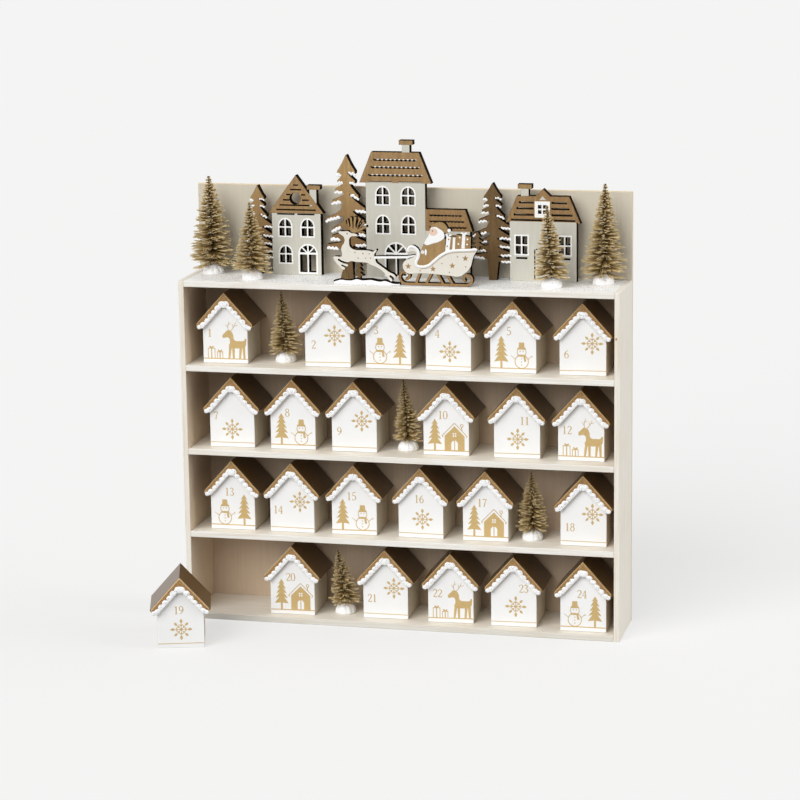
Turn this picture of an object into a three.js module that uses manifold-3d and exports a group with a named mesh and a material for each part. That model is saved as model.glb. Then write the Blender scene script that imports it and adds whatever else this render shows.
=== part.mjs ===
// House advent calendar: an open wooden cabinet with four bays of little numbered gift houses,
// a cut-out winter village and bottle-brush trees on top, and a tall board behind it all.
// Units are millimetres. X runs to the right, +Y to the back, +Z up.
// The origin is the centre of the cabinet's underside, and the parts are first laid out from its front edge.

import * as THREE from 'three';
import { mergeVertices } from 'three/addons/utils/BufferGeometryUtils.js';
import Module from 'manifold-3d';

const wasm = await Module();
wasm.setup();

// Little houses
const houseWidth = 41.3;
const houseDepth = 48;
const houseHeight = 64.5;
const houseWall = 2;
const houseFloor = 2;
const roofPitch = 48;
const roofThickness = 3.5;
const roofSpan = 53.6;
const roofFrontOverhang = 3.5;
const roofBackOverhang = 1;
const lidGap = 0.3;
const trimBand = 4.6;
const trimRelief = 0.6;
const trimLap = 1.5;
const trimScallop = 0.9;
const scallopsPerSide = 6;

// Cabinet
const bayCount = 4;
const headroom = 7;
const boardThickness = 5.5;
const sideThickness = 5;
const backThickness = 4;
const backdropRise = 79;
const housesPerRow = 6;
const rowRoom = 43.4;
const houseSetback = 13.4;
const backRoom = 1.5;
const restGap = 0.3;

// Bottle-brush trees
const treeBaseRadius = 9.5;
const treeBaseHeight = 8;
const treeStemRadius = 1.6;
const treeSides = 12;
const underEave = 4;

// Village cut-outs on the top board
const panelThickness = 8;
const panelBackGap = 10;
const windowBar = 1.3;
const slitHeight = 1.5;
const cottageWall = 45.6;
const cottageHeight = 55.5;
const cottageRoofRise = 35;
const cottageEave = 2.9;
const cottageWindow = [11, 15];
const cottageX = -102.4;
const townWall = 54.5;
const townHeight = 85.6;
const townRoofRise = 27;
const townEave = 5.8;
const townWindow = [11.4, 15.3];
const townX = -10.3;
const annexWidth = 40.5;
const annexWallHeight = 42.8;
const annexRoofRise = 19.5;
const lodgeWall = 60;
const lodgeHeight = 53.5;
const lodgeRoofRise = 22.5;
const lodgeEave = 3.6;
const lodgeWindow = [10.5, 16];
const lodgeX = 123.3;
const chimneyWidth = 7;
const chimneyCap = 12.6;
const chimneyCapHeight = 4;
const firJoin = 1.2;
const firs = {
  left: { height: 80.5, reach: 14.5 },
  middle: { height: 109.4, reach: 19 },
  right: { height: 86.6, reach: 16.6 },
};

// Sleigh scene in front of the village
const sceneHeight = 60;
const sceneThickness = 6;
const sceneSetback = 9;
const sceneX = 7;

// Sizes that follow from the ones above
const rad = THREE.MathUtils.degToRad;
const slope = Math.tan(rad(roofPitch));
const roofDepth = houseDepth + roofFrontOverhang + roofBackOverhang;
const roofFront = -houseDepth / 2 - roofFrontOverhang;
const insideApex = houseHeight - roofThickness / Math.cos(rad(roofPitch));
const bayHeight = houseHeight + headroom;
const bayPitch = bayHeight + boardThickness;
const cabinetHeight = bayCount * bayPitch + boardThickness;

// The sleigh scene is drawn 60 mm high.
const sceneScale = sceneHeight / 60;

// Each row from left to right: a numbered house with its turn in degrees and how much further
// back than the common setback it stands, a tree with its brush size, or an empty place.
// The shares split the row's free room into the gaps between them, from the left side on.
const rows = [
  {
    items: [
      { house: 1, turn: 2.6, back: 0.9 },
      { tree: 1, height: 63.6, radius: 16.5, lean: -3.3, back: 19.1 },
      { house: 2, turn: 2.6, back: 0.1 },
      { house: 3, turn: 0.8, back: 2 },
      { house: 4, turn: -1.8, back: 2.1 },
      { house: 5, turn: 0, back: 2.1 },
      { house: 6, turn: 1.5, back: 2.1 },
    ],
    shares: [0.126, 0.34, 0.08, 0.024, 0.026, 0.094, 0.21, 0.1],
  },
  {
    items: [
      { house: 7, turn: 2.4, back: -0.3 },
      { house: 8, turn: 2.6, back: 0.3 },
      { house: 9, turn: 1, back: 0.4 },
      { tree: 2, height: 65.5, radius: 14, lean: -3.9, back: 18.4 },
      { house: 10, turn: 1.2, back: 2.1 },
      { house: 11, turn: 2, back: 2.1 },
      { house: 12, turn: 0, back: 1.4 },
    ],
    shares: [0.235, 0.022, 0.06, 0.215, 0.02, 0.223, 0.1, 0.125],
  },
  {
    items: [
      { house: 13, turn: 1.4, back: -1.1 },
      { house: 14, turn: 0, back: -0.9 },
      { house: 15, turn: 2.2, back: 0.8 },
      { house: 16, turn: -0.6, back: 0.7 },
      { house: 17, turn: 1, back: 0.6 },
      { tree: 3, height: 61.6, radius: 15.5, lean: -1, back: 16.7 },
      { house: 18, turn: 0.6, back: 0.1 },
    ],
    shares: [0.228, 0.057, 0.053, 0.2, 0.109, 0.03, 0.258, 0.065],
  },
  {
    items: [
      { empty: true },
      { house: 20, turn: 1.6, back: -3 },
      { tree: 4, height: 60, radius: 15, lean: -6.5, back: 13.7 },
      { house: 21, turn: 1.4, back: 0.1 },
      { house: 22, turn: 3.2, back: -1.6 },
      { house: 23, turn: 1.4, back: -2.1 },
      { house: 24, turn: 0.4, back: -6 },
    ],
    shares: [0.106, 0.165, 0.195, 0.055, 0.111, 0.074, 0.249, 0.045],
  },
];
const furthestBack = Math.max(...rows.flatMap((row) => row.items.map((item) => (item.house ? item.back : 0))));

// The house that has been taken out stands on the floor in front of its empty place.
const looseHouse = { house: 19, turn: 16.8, forward: 91 };

// Trees on the top board, measured from a side of the cabinet or from a cottage.
const villageTrees = {
  farLeft: { height: 89, radius: 19, lean: -2.2, back: 44.4, fromSide: 19.6 },
  nearLeft: { height: 69.8, radius: 18, lean: -1.3, back: 18.6, fromCottage: 33.6 },
  nearRight: { height: 72.3, radius: 16.5, lean: -3.7, back: 18.6, fromLodge: 12.9 },
  farRight: { height: 88.9, radius: 19, lean: 1.4, back: 44.4, fromSide: 22.2 },
};

// A turned house takes a little more of the row than a straight one.
function turnedSpan(turn) {
  const angle = rad(Math.abs(turn));
  return roofSpan * Math.cos(angle) + 2 * (trimRelief - roofFront) * Math.sin(angle);
}

function placeWidth(item) {
  if (item.tree) return 2 * (item.radius - underEave);
  return item.empty ? roofSpan : turnedSpan(item.turn);
}

const widestBrush = 2 * (Math.max(...rows.flatMap((row) => row.items.map((item) => item.radius ?? 0))) - underEave);
const innerWidth = housesPerRow * roofSpan + widestBrush + rowRoom;
const cabinetWidth = innerWidth + 2 * sideThickness;
const shelfDepth = houseSetback + furthestBack + houseDepth + roofBackOverhang + backRoom;

const paint = {
  pine: { color: '#e6ddcc', roughness: 0.75, metalness: 0 },
  backdrop: { color: '#d8cfbf', roughness: 0.8, metalness: 0 },
  white: { color: '#f4f3f0', roughness: 0.7, metalness: 0 },
  roof: { color: '#5b4a3a', roughness: 0.7, metalness: 0 },
  village: { color: '#dcd6c8', roughness: 0.8, metalness: 0 },
  wood: { color: '#a88558', roughness: 0.8, metalness: 0 },
};

function solidOf(geometry) {
  const bare = geometry.clone();
  for (const name of Object.keys(bare.attributes)) {
    if (name !== 'position') bare.deleteAttribute(name);
  }
  const merged = mergeVertices(bare, 1e-4);
  const numbers = new Float32Array(merged.attributes.position.array);
  const corners = new Uint32Array(merged.index.array);
  return new wasm.Manifold(new wasm.Mesh({ numProp: 3, vertProperties: numbers, triVerts: corners }));
}

function geometryOf(solid) {
  const mesh = solid.getMesh();
  const geometry = new THREE.BufferGeometry();
  geometry.setAttribute('position', new THREE.BufferAttribute(new Float32Array(mesh.vertProperties), 3));
  geometry.setIndex(new THREE.BufferAttribute(new Uint32Array(mesh.triVerts), 1));
  geometry.computeVertexNormals();
  return geometry;
}

function joined(geometries) {
  return geometries.map(solidOf).reduce((whole, next) => whole.add(next));
}

function cut(solid, cutters) {
  return cutters.map(solidOf).reduce((whole, next) => whole.subtract(next), solid);
}

function block(width, depth, height, x, y, z) {
  return new THREE.BoxGeometry(width, depth, height).translate(x, y, z);
}

// A flat outline in X and Z, made into a plate whose front face is at frontY.
function plate(points, thickness, frontY) {
  const shape = new THREE.Shape(points.map(([x, z]) => new THREE.Vector2(x, z)));
  const geometry = new THREE.ExtrudeGeometry(shape, { depth: thickness, bevelEnabled: false });
  return geometry.rotateX(Math.PI / 2).translate(0, frontY + thickness, 0);
}

function rectangle(left, bottom, right, top) {
  return [[left, bottom], [right, bottom], [right, top], [left, top]];
}

// A smooth closed outline through the given points.
function smooth(points, samples) {
  const curve = new THREE.CatmullRomCurve3(points.map(([x, z]) => new THREE.Vector3(x, z, 0)), true, 'centripetal');
  return curve.getPoints(samples).slice(0, samples).map((point) => [point.x, point.y]);
}

function bend(from, control, to, steps) {
  const curve = new THREE.QuadraticBezierCurve(
    new THREE.Vector2(...from),
    new THREE.Vector2(...control),
    new THREE.Vector2(...to),
  );
  return curve.getPoints(steps).map((point) => [point.x, point.y]);
}

function strip(from, to, width) {
  const [ax, az] = from;
  const [bx, bz] = to;
  const length = Math.hypot(bx - ax, bz - az);
  const nx = (-(bz - az) / length) * (width / 2);
  const nz = ((bx - ax) / length) * (width / 2);
  return [[ax - nx, az - nz], [bx - nx, bz - nz], [bx + nx, bz + nz], [ax + nx, az + nz]];
}

function circle(x, z, radius, sides) {
  return Array.from({ length: sides }, (_, i) => {
    const angle = (2 * Math.PI * i) / sides;
    return [x + radius * Math.cos(angle), z + radius * Math.sin(angle)];
  });
}

// House body: a gabled box with a floor, open on top under the lid.
function houseBox() {
  const half = houseWidth / 2;
  const apex = insideApex - lidGap / Math.cos(rad(roofPitch));
  const eave = apex - half * slope;
  const outline = [[-half, 0], [half, 0], [half, eave], [0, apex], [-half, eave]];
  const shell = solidOf(plate(outline, houseDepth, -houseDepth / 2));
  const pocketHeight = houseHeight;
  const pocket = block(
    houseWidth - 2 * houseWall,
    houseDepth - 2 * houseWall,
    pocketHeight,
    0,
    0,
    houseFloor + pocketHeight / 2,
  );
  return geometryOf(cut(shell, [pocket]));
}

// Lid: two slabs that meet at the ridge, with a scalloped snow trim along the front gable.
function houseRoof() {
  const angle = rad(roofPitch);
  const half = roofSpan / 2;
  const outerEave = houseHeight - half * slope;
  const innerX = half - roofThickness * Math.sin(angle);
  const innerEave = outerEave - roofThickness * Math.cos(angle);
  const slabs = plate(
    [[half, outerEave], [0, houseHeight], [-half, outerEave], [-innerX, innerEave], [0, insideApex], [innerX, innerEave]],
    roofDepth,
    roofFront,
  );

  const length = innerX / Math.cos(angle);
  const point = (s, d) => [
    s * Math.cos(angle) - d * Math.sin(angle),
    insideApex - s * Math.sin(angle) - d * Math.cos(angle),
  ];
  const steps = scallopsPerSide * 3;
  const lower = [];
  for (let i = 1; i <= steps; i += 1) {
    const share = i / steps;
    const taper = share > 0.9 ? 0.55 : 1;
    const band = (trimBand + trimScallop * Math.abs(Math.sin(Math.PI * scallopsPerSide * share))) * taper;
    const start = band * Math.tan(angle);
    lower.push(point(start + (length - start) * share, band));
  }
  const top = [[0, insideApex + trimLap / Math.cos(angle)], point(length, -trimLap)];
  const bottom = [0, insideApex - trimBand / Math.cos(angle)];
  const mirrored = (points) => points.map(([x, z]) => [-x, z]);
  const outline = [top[0], ...mirrored([top[1], ...lower.toReversed()]), bottom, ...lower, top[1]];
  const trimDepth = trimRelief + roofFrontOverhang - lidGap;
  const trim = plate(outline, trimDepth, roofFront - trimRelief);
  return geometryOf(joined([slabs, trim]));
}

// Bottle-brush tree: a domed snowy foot and a cone of bristles, leaning sideways by lean at its tip.
function tree({ height, radius, lean }) {
  const foot = new THREE.LatheGeometry(
    [[0, -1], [treeBaseRadius, -1], [treeBaseRadius, 1.5], [treeBaseRadius * 0.86, treeBaseHeight * 0.6],
      [treeBaseRadius * 0.5, treeBaseHeight * 0.93], [0, treeBaseHeight]].map(([r, z]) => new THREE.Vector2(r, z)),
    treeSides,
  ).rotateX(Math.PI / 2);
  const rise = height - treeBaseHeight;
  const brush = new THREE.LatheGeometry(
    [[0, -2], [treeStemRadius, -2], [treeStemRadius, 2], [radius * 0.86, 3], [radius, rise * 0.13],
      [radius * 0.9, rise * 0.28], [radius * 0.56, rise * 0.56], [radius * 0.27, rise * 0.8],
      [treeStemRadius, rise * 0.97], [0, rise]].map(([r, z]) => new THREE.Vector2(r, z)),
    treeSides,
  ).rotateX(Math.PI / 2);
  brush.rotateY(Math.atan(lean / rise)).translate(0, 0, treeBaseHeight);
  return joined([foot, brush]);
}

// Board with its top face at z = 0 and its front edge at y = 0, with the trees that are glued to it.
function board(trees) {
  let solid = solidOf(block(innerWidth, shelfDepth, boardThickness, 0, shelfDepth / 2, -boardThickness / 2));
  for (const { x, y, spec } of trees) solid = solid.add(tree(spec).translate(x, y, 0));
  return geometryOf(solid);
}

// Fir outline: drooping branches down both sides, and a trunk. Its foot is at [x, z].
function fir(x, z, height, reach, trunk) {
  const tiers = [[0.865, 0.55], [0.785, 0.54], [0.69, 0.69], [0.6, 0.83], [0.505, 1], [0.415, 0.9], [0.33, 0.92], [0.25, 1]];
  const side = [[0, height]];
  let notch = [0.1, height];
  tiers.forEach(([level, spread], i) => {
    const tip = [spread * reach, level * height];
    const inner = [reach * (0.15 + 0.035 * i), (level - 0.012) * height];
    side.push(...bend(notch, [notch[0] + 0.18 * reach, tip[1] + 0.03 * height], tip, 3).slice(1));
    side.push(...bend(tip, [inner[0] + 0.3 * reach, inner[1] + 0.02 * height], inner, 2).slice(1));
    notch = inner;
  });
  side.push([trunk * 0.8, (0.25 - 0.03) * height], [trunk, 0]);
  const right = side.map(([px, pz]) => [x + px, z + pz]);
  const left = side.slice(1).map(([px, pz]) => [x - px, z + pz]);
  return [...right, ...left.toReversed()];
}

// The four panes of a window, with bars between them, on a sill at z.
function panes(x, z, [width, height], arched) {
  const half = width / 2;
  const bar = windowBar / 2;
  const transom = z + height * (arched ? 0.53 : 0.48);
  const top = z + height;
  const upper = (sign) => {
    if (!arched) return rectangle(...(sign > 0 ? [x + bar, transom + bar, x + half, top] : [x - half, transom + bar, x - bar, top]));
    const base = transom + bar;
    const arc = [0, 1, 2, 3, 4].map((i) => {
      const angle = (i / 4) * Math.acos(bar / half);
      return [x + sign * half * Math.cos(angle), base + (top - base) * Math.sin(angle)];
    });
    return [[x + sign * bar, base], ...arc];
  };
  return [
    rectangle(x - half, z, x - bar, transom - bar),
    rectangle(x + bar, z, x + half, transom - bar),
    upper(-1),
    upper(1),
  ];
}

// A round-topped door: four wedges of a fan light over two tall panes.
function fanDoor(x, width, spring, foot) {
  const radius = width / 2;
  const bar = windowBar / 2;
  const wedges = [0, 1, 2, 3].map((i) => {
    const start = (i * Math.PI) / 4;
    const middle = start + Math.PI / 8;
    const hub = windowBar * 1.4;
    const arc = [0, 0.5, 1].map((t) => {
      const angle = start + rad(5) + t * (Math.PI / 4 - rad(10));
      return [x + radius * Math.cos(angle), spring + bar + (radius - bar) * Math.sin(angle)];
    });
    return [[x + hub * Math.cos(middle), spring + bar + hub * Math.sin(middle) * 0.6], ...arc];
  });
  return [
    ...wedges,
    rectangle(x - radius, foot, x - bar, spring - bar),
    rectangle(x + bar, foot, x + radius, spring - bar),
  ];
}

function slit(left, right, z) {
  return rectangle(left, z - slitHeight / 2, right, z + slitHeight / 2);
}

function chimney(x, from, top) {
  return [
    rectangle(x - chimneyWidth / 2, from, x + chimneyWidth / 2, top - chimneyCapHeight / 2),
    rectangle(x - chimneyCap / 2, top - chimneyCapHeight, x + chimneyCap / 2, top),
  ];
}

// One cut-out panel from overlapping outlines, with the openings cut right through.
function panel(outlines, openings, thickness) {
  const solid = joined(outlines.map((points) => plate(points, thickness, 0)));
  return geometryOf(cut(solid, openings.map((points) => plate(points, thickness + 2, -1))));
}

function leftCottage() {
  const half = cottageWall / 2;
  const eave = half + cottageEave;
  const top = cottageHeight + cottageRoofRise;
  const firAt = -half - firs.left.reach + firJoin;
  const roofAt = (share) => eave * (1 - share);
  const slits = [0.12, 0.25].map((share) => {
    const z = cottageHeight + cottageRoofRise * share;
    return slit(-roofAt(share) + 4.5, roofAt(share) - 4.5, z);
  });
  for (const share of [0.385, 0.515]) {
    const z = cottageHeight + cottageRoofRise * share;
    slits.push(slit(-roofAt(share) + 4, -8, z), slit(8, roofAt(share) - 4, z));
  }
  for (const share of [0.655, 0.77]) {
    const z = cottageHeight + cottageRoofRise * share;
    slits.push(slit(-roofAt(share) + 4, roofAt(share) - 4, z));
  }
  const windowX = half - 12.4;
  return panel(
    [
      rectangle(-half, 0, half, cottageHeight),
      [[-eave, cottageHeight], [eave, cottageHeight], [0, top]],
      ...chimney(half - 4.8, cottageHeight + 6, cottageHeight + 26.2),
      fir(firAt, 0, firs.left.height, firs.left.reach, 3.2),
    ],
    [
      ...slits,
      circle(0, cottageHeight + 15, 5.6, 14),
      ...panes(-windowX, 35.4, cottageWindow, true),
      ...panes(windowX, 35.4, cottageWindow, true),
      ...panes(-windowX, 11, cottageWindow, true),
      ...fanDoor(windowX, 15.2, 19.4, 2.6),
    ],
    panelThickness,
  );
}

function townHouse() {
  const half = townWall / 2;
  const eave = half + townEave;
  const roofTop = townHeight + townRoofRise;
  const ridge = eave - 11.2;
  const annexEnd = half + annexWidth;
  const annexTop = annexWallHeight + annexRoofRise;
  const firAt = -half - firs.middle.reach + firJoin;
  const windowX = 11.7;
  return panel(
    [
      rectangle(-half, 0, half, townHeight),
      [[-eave, townHeight], [eave, townHeight], [ridge, roofTop], [-ridge, roofTop]],
      ...chimney(10, townHeight + 20, roofTop + 10.7),
      rectangle(half - 1, 0, annexEnd, annexWallHeight),
      [[half - 1, annexWallHeight], [annexEnd + 2.4, annexWallHeight], [annexEnd - 4.2, annexTop], [half - 1, annexTop]],
      fir(firAt, 0, firs.middle.height, firs.middle.reach, 4.4),
    ],
    [
      slit(-half + 3, -3, townHeight),
      slit(3, half - 3, townHeight),
      ...panes(-windowX, 65.9, townWindow, true),
      ...panes(windowX, 65.9, townWindow, true),
      ...panes(-windowX, 40, townWindow, true),
      ...panes(windowX, 40, townWindow, true),
      ...fanDoor(0, 18.4, 21.3, 1.8),
    ],
    panelThickness,
  );
}

function rightCottage() {
  const half = lodgeWall / 2;
  const eave = half + lodgeEave;
  const ridge = eave - 10.2;
  const roofTop = lodgeHeight + lodgeRoofRise;
  const firAt = -half - firs.right.reach + firJoin;
  const windowX = half - 10.7;
  const slits = [0.3, 0.53, 0.77].flatMap((share) => {
    const z = lodgeHeight + lodgeRoofRise * share;
    const end = eave - 10.2 * share - 4;
    return [slit(-end, -8.4, z), slit(8.4, end, z)];
  });
  return panel(
    [
      rectangle(-half, 0, half, lodgeHeight),
      [[-eave, lodgeHeight - 1.5], [eave, lodgeHeight - 1.5], [ridge, roofTop], [-ridge, roofTop]],
      [[-6.2, roofTop - 1], [6.2, roofTop - 1], [0, roofTop + 6]],
      ...chimney(-16.3, roofTop - 6, roofTop + 10.3),
      fir(firAt, 0, firs.right.height, firs.right.reach, 4.2),
    ],
    [
      ...slits,
      slit(-half + 1.5, half - 1.5, lodgeHeight),
      ...panes(0, lodgeHeight + 7.2, [7.8, 8.2], false),
      ...panes(-windowX, 24.2, lodgeWindow, false),
      ...panes(windowX, 24.2, lodgeWindow, false),
      slit(-windowX - 5, -windowX + 5, 21),
      slit(windowX - 5, windowX + 5, 21),
      rectangle(-7.4, 1.5, -6.3, 30),
      rectangle(7.4, 1.5, 8.5, 30),
      rectangle(-7.4, 29, 8.5, 30),
    ],
    panelThickness,
  );
}

// Reindeer, reins, loaded sleigh and its driver, cut from one plank. The sleigh's nose is near x = 0.
function sleighScene() {
  const deer = smooth(
    [
      [-60, 45.4], [-56.2, 43], [-53.6, 40.4], [-55.6, 36.2], [-57, 31.2], [-57.6, 27.4], [-61.5, 25.6],
      [-65, 23.8], [-63, 19.2], [-57.5, 14.4], [-52.2, 10.4], [-49.6, 12.2], [-54, 16], [-56.6, 19.6],
      [-53.4, 20.2], [-47, 19.3], [-39.5, 19.1], [-30.6, 20], [-26.6, 17.8], [-22, 14.6], [-17.6, 10],
      [-12.4, 3.6], [-8.2, 3.2], [-7.6, 6], [-12, 10.8], [-16.2, 15.4], [-20.8, 19.4], [-24.8, 23.2],
      [-25.6, 27.2], [-23.8, 31.6], [-27.8, 29.8], [-33.8, 30.6], [-39.3, 31], [-46.4, 32.4], [-49.2, 35.4],
      [-49.4, 38.9], [-48, 42], [-44.8, 44.4], [-48, 45.6], [-53, 46.9],
    ],
    96,
  );
  const antlers = [
    [[-48.6, 44.8], [-45, 50.4], 2.4], [[-45.6, 49.8], [-37.6, 52.5], 2.1], [[-38, 52.1], [-34.4, 54.8], 1.8],
    [[-46, 48.8], [-51.4, 56.6], 1.9], [[-45.2, 49.6], [-48.6, 59], 1.9], [[-43.4, 50.4], [-44.5, 60], 1.8],
    [[-41, 51.2], [-40.8, 59], 1.8], [[-38.8, 52], [-36.8, 58.4], 1.7],
  ].map(([from, to, width]) => strip(from, to, width));
  const body = smooth(
    [
      [2.2, 32.4], [3.8, 35.4], [7.4, 36.8], [11.8, 34.8], [15.2, 30.8], [14.4, 26.6], [12.4, 22.4], [13.6, 18.8],
      [18.8, 17.8], [25.2, 20.8], [34.5, 28.4], [41.8, 31.8], [50, 33.4], [59, 34.9], [66.2, 35.4], [64.6, 31.2],
      [62.8, 25.8], [59.6, 20.2], [55.8, 14.2], [50, 10], [40.9, 9.7], [34, 10.6], [16, 11.2], [6.7, 11.4],
      [1.8, 11.6], [-1, 15.4], [1.2, 20.8], [6, 23.4], [10, 27], [9.6, 30.4], [6.6, 32.2],
    ],
    72,
  );
  const coat = smooth([[15.4, 16], [12.8, 22], [13.6, 28], [16, 34], [19, 40], [27, 42], [36.4, 46], [37, 37], [33, 26]], 24);
  const beard = smooth([[24, 53], [21.2, 47.2], [18.8, 42], [17, 37.8], [21, 36.4], [27, 37.4], [33, 40.6], [35.8, 48]], 20);
  const cap = smooth([[23.2, 51.6], [22.4, 54.8], [27.4, 57.3], [34, 57.1], [38.8, 53.4], [41.4, 49.8], [36.4, 48.4]], 20);
  const snow = [
    [-65, 0], [-5, 0], [-5, 3], [-12, 3.8], [-21, 4.6], [-29, 5], [-36, 5.4], [-43, 4.4], [-49, 5.2], [-56, 4.2], [-61, 5.2],
    [-65, 3.6],
  ];
  const stump = [[-58.2, 2], [-57.4, 12], [-53.4, 15.6], [-49.4, 19.4], [-46.8, 20], [-46.6, 2]];
  const struts = [[8, 5], [19, 17], [30, 32.5], [39.6, 42.4], [50, 47]];
  const gifts = [
    rectangle(36.4, 26, 41.4, 46.2),
    rectangle(41, 29, 47.4, 44.6),
    rectangle(47, 31, 53.4, 46.8),
    rectangle(53, 32, 58.8, 45.6),
    circle(50.2, 47.4, 1.9, 12),
  ];
  const outlines = [
    deer,
    ...antlers,
    snow,
    stump,
    fir(-42, 3, 17, 4.4, 1.2),
    strip([-28, 24.4], [10, 28.4], 2.4),
    body,
    coat,
    beard,
    cap,
    circle(40.8, 48.8, 2.1, 10),
    rectangle(-1, 0, 57, 2.2),
    circle(-0.4, 6.4, 6.3, 16),
    circle(56.2, 6.1, 5.6, 16),
    ...struts.map(([top, foot]) => strip([top, 12.4], [foot, 1], 2.2)),
    ...gifts,
    fir(62.4, 33, 16, 5.4, 1.6),
  ];
  const holes = [circle(-0.4, 6.4, 3.2, 12), circle(56.2, 6.1, 2.6, 12)];
  const enlarged = (points) => points.map(([x, z]) => [x * sceneScale, z * sceneScale]);
  return panel(outlines.map(enlarged), holes.map(enlarged), sceneThickness);
}

const calendar = new THREE.Group();

function addPart(parent, name, geometry, look) {
  const mesh = new THREE.Mesh(geometry, new THREE.MeshStandardMaterial(look));
  mesh.name = name;
  parent.add(mesh);
  return mesh;
}

// Sides stand full height, with the boards between them and the backdrop over the whole back.
for (const [name, sign] of [['left_side', -1], ['right_side', 1]]) {
  const side = addPart(calendar, name, new THREE.BoxGeometry(sideThickness, shelfDepth, cabinetHeight), paint.pine);
  side.position.set((sign * (innerWidth + sideThickness)) / 2, shelfDepth / 2, cabinetHeight / 2);
}
const backdropHeight = cabinetHeight + backdropRise;
const backdrop = addPart(
  calendar,
  'back_board',
  new THREE.BoxGeometry(cabinetWidth, backThickness, backdropHeight),
  paint.backdrop,
);
backdrop.position.set(0, shelfDepth + backThickness / 2, backdropHeight / 2);

const boxShape = houseBox();
const roofShape = houseRoof();

function addHouse(number, x, y, z, turn) {
  const house = new THREE.Group();
  const label = String(number).padStart(2, '0');
  addPart(house, `house_${label}_box`, boxShape.clone(), paint.white);
  addPart(house, `house_${label}_roof`, roofShape.clone(), paint.roof);
  house.position.set(x, y, z);
  house.rotation.z = rad(turn);
  calendar.add(house);
}

// The middle of a house's front edge stays on its place when the house turns.
function houseMiddle(frontX, frontY, turn) {
  const angle = rad(turn);
  return [frontX - (houseDepth / 2) * Math.sin(angle), frontY + (houseDepth / 2) * Math.cos(angle)];
}

const shelfNames = ['upper_shelf', 'middle_shelf', 'lower_shelf', 'bottom_board'];
rows.forEach((row, index) => {
  const shelfTop = cabinetHeight - (index + 1) * bayPitch;
  const free = innerWidth - row.items.reduce((sum, item) => sum + placeWidth(item), 0);
  const trees = [];
  let x = -innerWidth / 2;
  row.items.forEach((item, place) => {
    x += free * row.shares[place] + placeWidth(item) / 2;
    if (item.house) {
      const y = houseSetback + item.back + houseDepth / 2;
      addHouse(item.house, x, y, shelfTop + restGap, item.turn);
    } else if (item.tree) {
      trees.push({ x, y: houseSetback + item.back, spec: item });
    }
    x += placeWidth(item) / 2;
  });
  addPart(calendar, shelfNames[index], board(trees), paint.pine).position.z = shelfTop;
});

const looseX = -innerWidth / 2 + 18.1;
const [looseMiddleX, looseMiddleY] = houseMiddle(looseX, -looseHouse.forward, looseHouse.turn);
addHouse(looseHouse.house, looseMiddleX, looseMiddleY, 0, looseHouse.turn);

const halfCabinet = cabinetWidth / 2;
const topTrees = [
  { x: -halfCabinet + villageTrees.farLeft.fromSide, spec: villageTrees.farLeft },
  { x: cottageX - villageTrees.nearLeft.fromCottage, spec: villageTrees.nearLeft },
  { x: lodgeX + villageTrees.nearRight.fromLodge, spec: villageTrees.nearRight },
  { x: halfCabinet - villageTrees.farRight.fromSide, spec: villageTrees.farRight },
].map(({ x, spec }) => ({ x, y: spec.back, spec }));
addPart(calendar, 'top_board', board(topTrees), paint.pine).position.z = cabinetHeight;

const panelFront = shelfDepth - panelBackGap - panelThickness;
const village = new THREE.Group();
village.position.set(0, panelFront, cabinetHeight);
addPart(village, 'left_cottage', leftCottage(), paint.village).position.x = cottageX;
addPart(village, 'town_house', townHouse(), paint.village).position.x = townX;
addPart(village, 'right_cottage', rightCottage(), paint.village).position.x = lodgeX;
calendar.add(village);

const scene = addPart(calendar, 'sleigh_scene', sleighScene(), paint.wood);
scene.position.set(sceneX, sceneSetback, cabinetHeight);

// From the front edge back to the middle of the cabinet's depth.
calendar.position.y = -(shelfDepth + backThickness) / 2;

export default calendar;
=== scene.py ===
# %% [markdown]
# # House advent calendar
# An open wooden cabinet holds twenty-four little gift houses, one for each day before Christmas. Bottle-
# brush trees stand between the houses, and a cut-out winter village stands on the top board. The frame
# holds the solids of every part at its real size, and this script gives each one its looks. Shapes are
# drawn in millimetres, because that is how a maker thinks, and turned into metres at the end.

# %% Load the frame
import bpy
import bmesh
import math
import random
from mathutils import Matrix, Vector


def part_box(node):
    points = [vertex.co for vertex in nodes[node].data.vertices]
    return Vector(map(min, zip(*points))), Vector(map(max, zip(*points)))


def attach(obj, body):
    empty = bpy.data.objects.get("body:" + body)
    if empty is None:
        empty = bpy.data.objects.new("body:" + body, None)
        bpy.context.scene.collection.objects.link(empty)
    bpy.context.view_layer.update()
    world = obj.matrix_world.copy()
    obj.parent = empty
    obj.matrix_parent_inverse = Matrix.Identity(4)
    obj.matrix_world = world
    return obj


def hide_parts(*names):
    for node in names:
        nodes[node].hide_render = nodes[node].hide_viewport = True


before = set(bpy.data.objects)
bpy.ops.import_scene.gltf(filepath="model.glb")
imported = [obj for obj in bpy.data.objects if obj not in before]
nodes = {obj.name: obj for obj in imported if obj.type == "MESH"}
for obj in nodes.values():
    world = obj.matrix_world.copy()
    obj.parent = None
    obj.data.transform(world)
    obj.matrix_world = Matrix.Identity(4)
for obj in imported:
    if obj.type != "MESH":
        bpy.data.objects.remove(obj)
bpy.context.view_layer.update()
print("parts in the frame:", len(nodes))

# %% [markdown]
# The camera stands a good way off with a long lens, as for a catalogue picture, a little to the right and
# above. Its place and aim were found by matching the corners of the cabinet, so both are plain numbers
# here.

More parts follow.
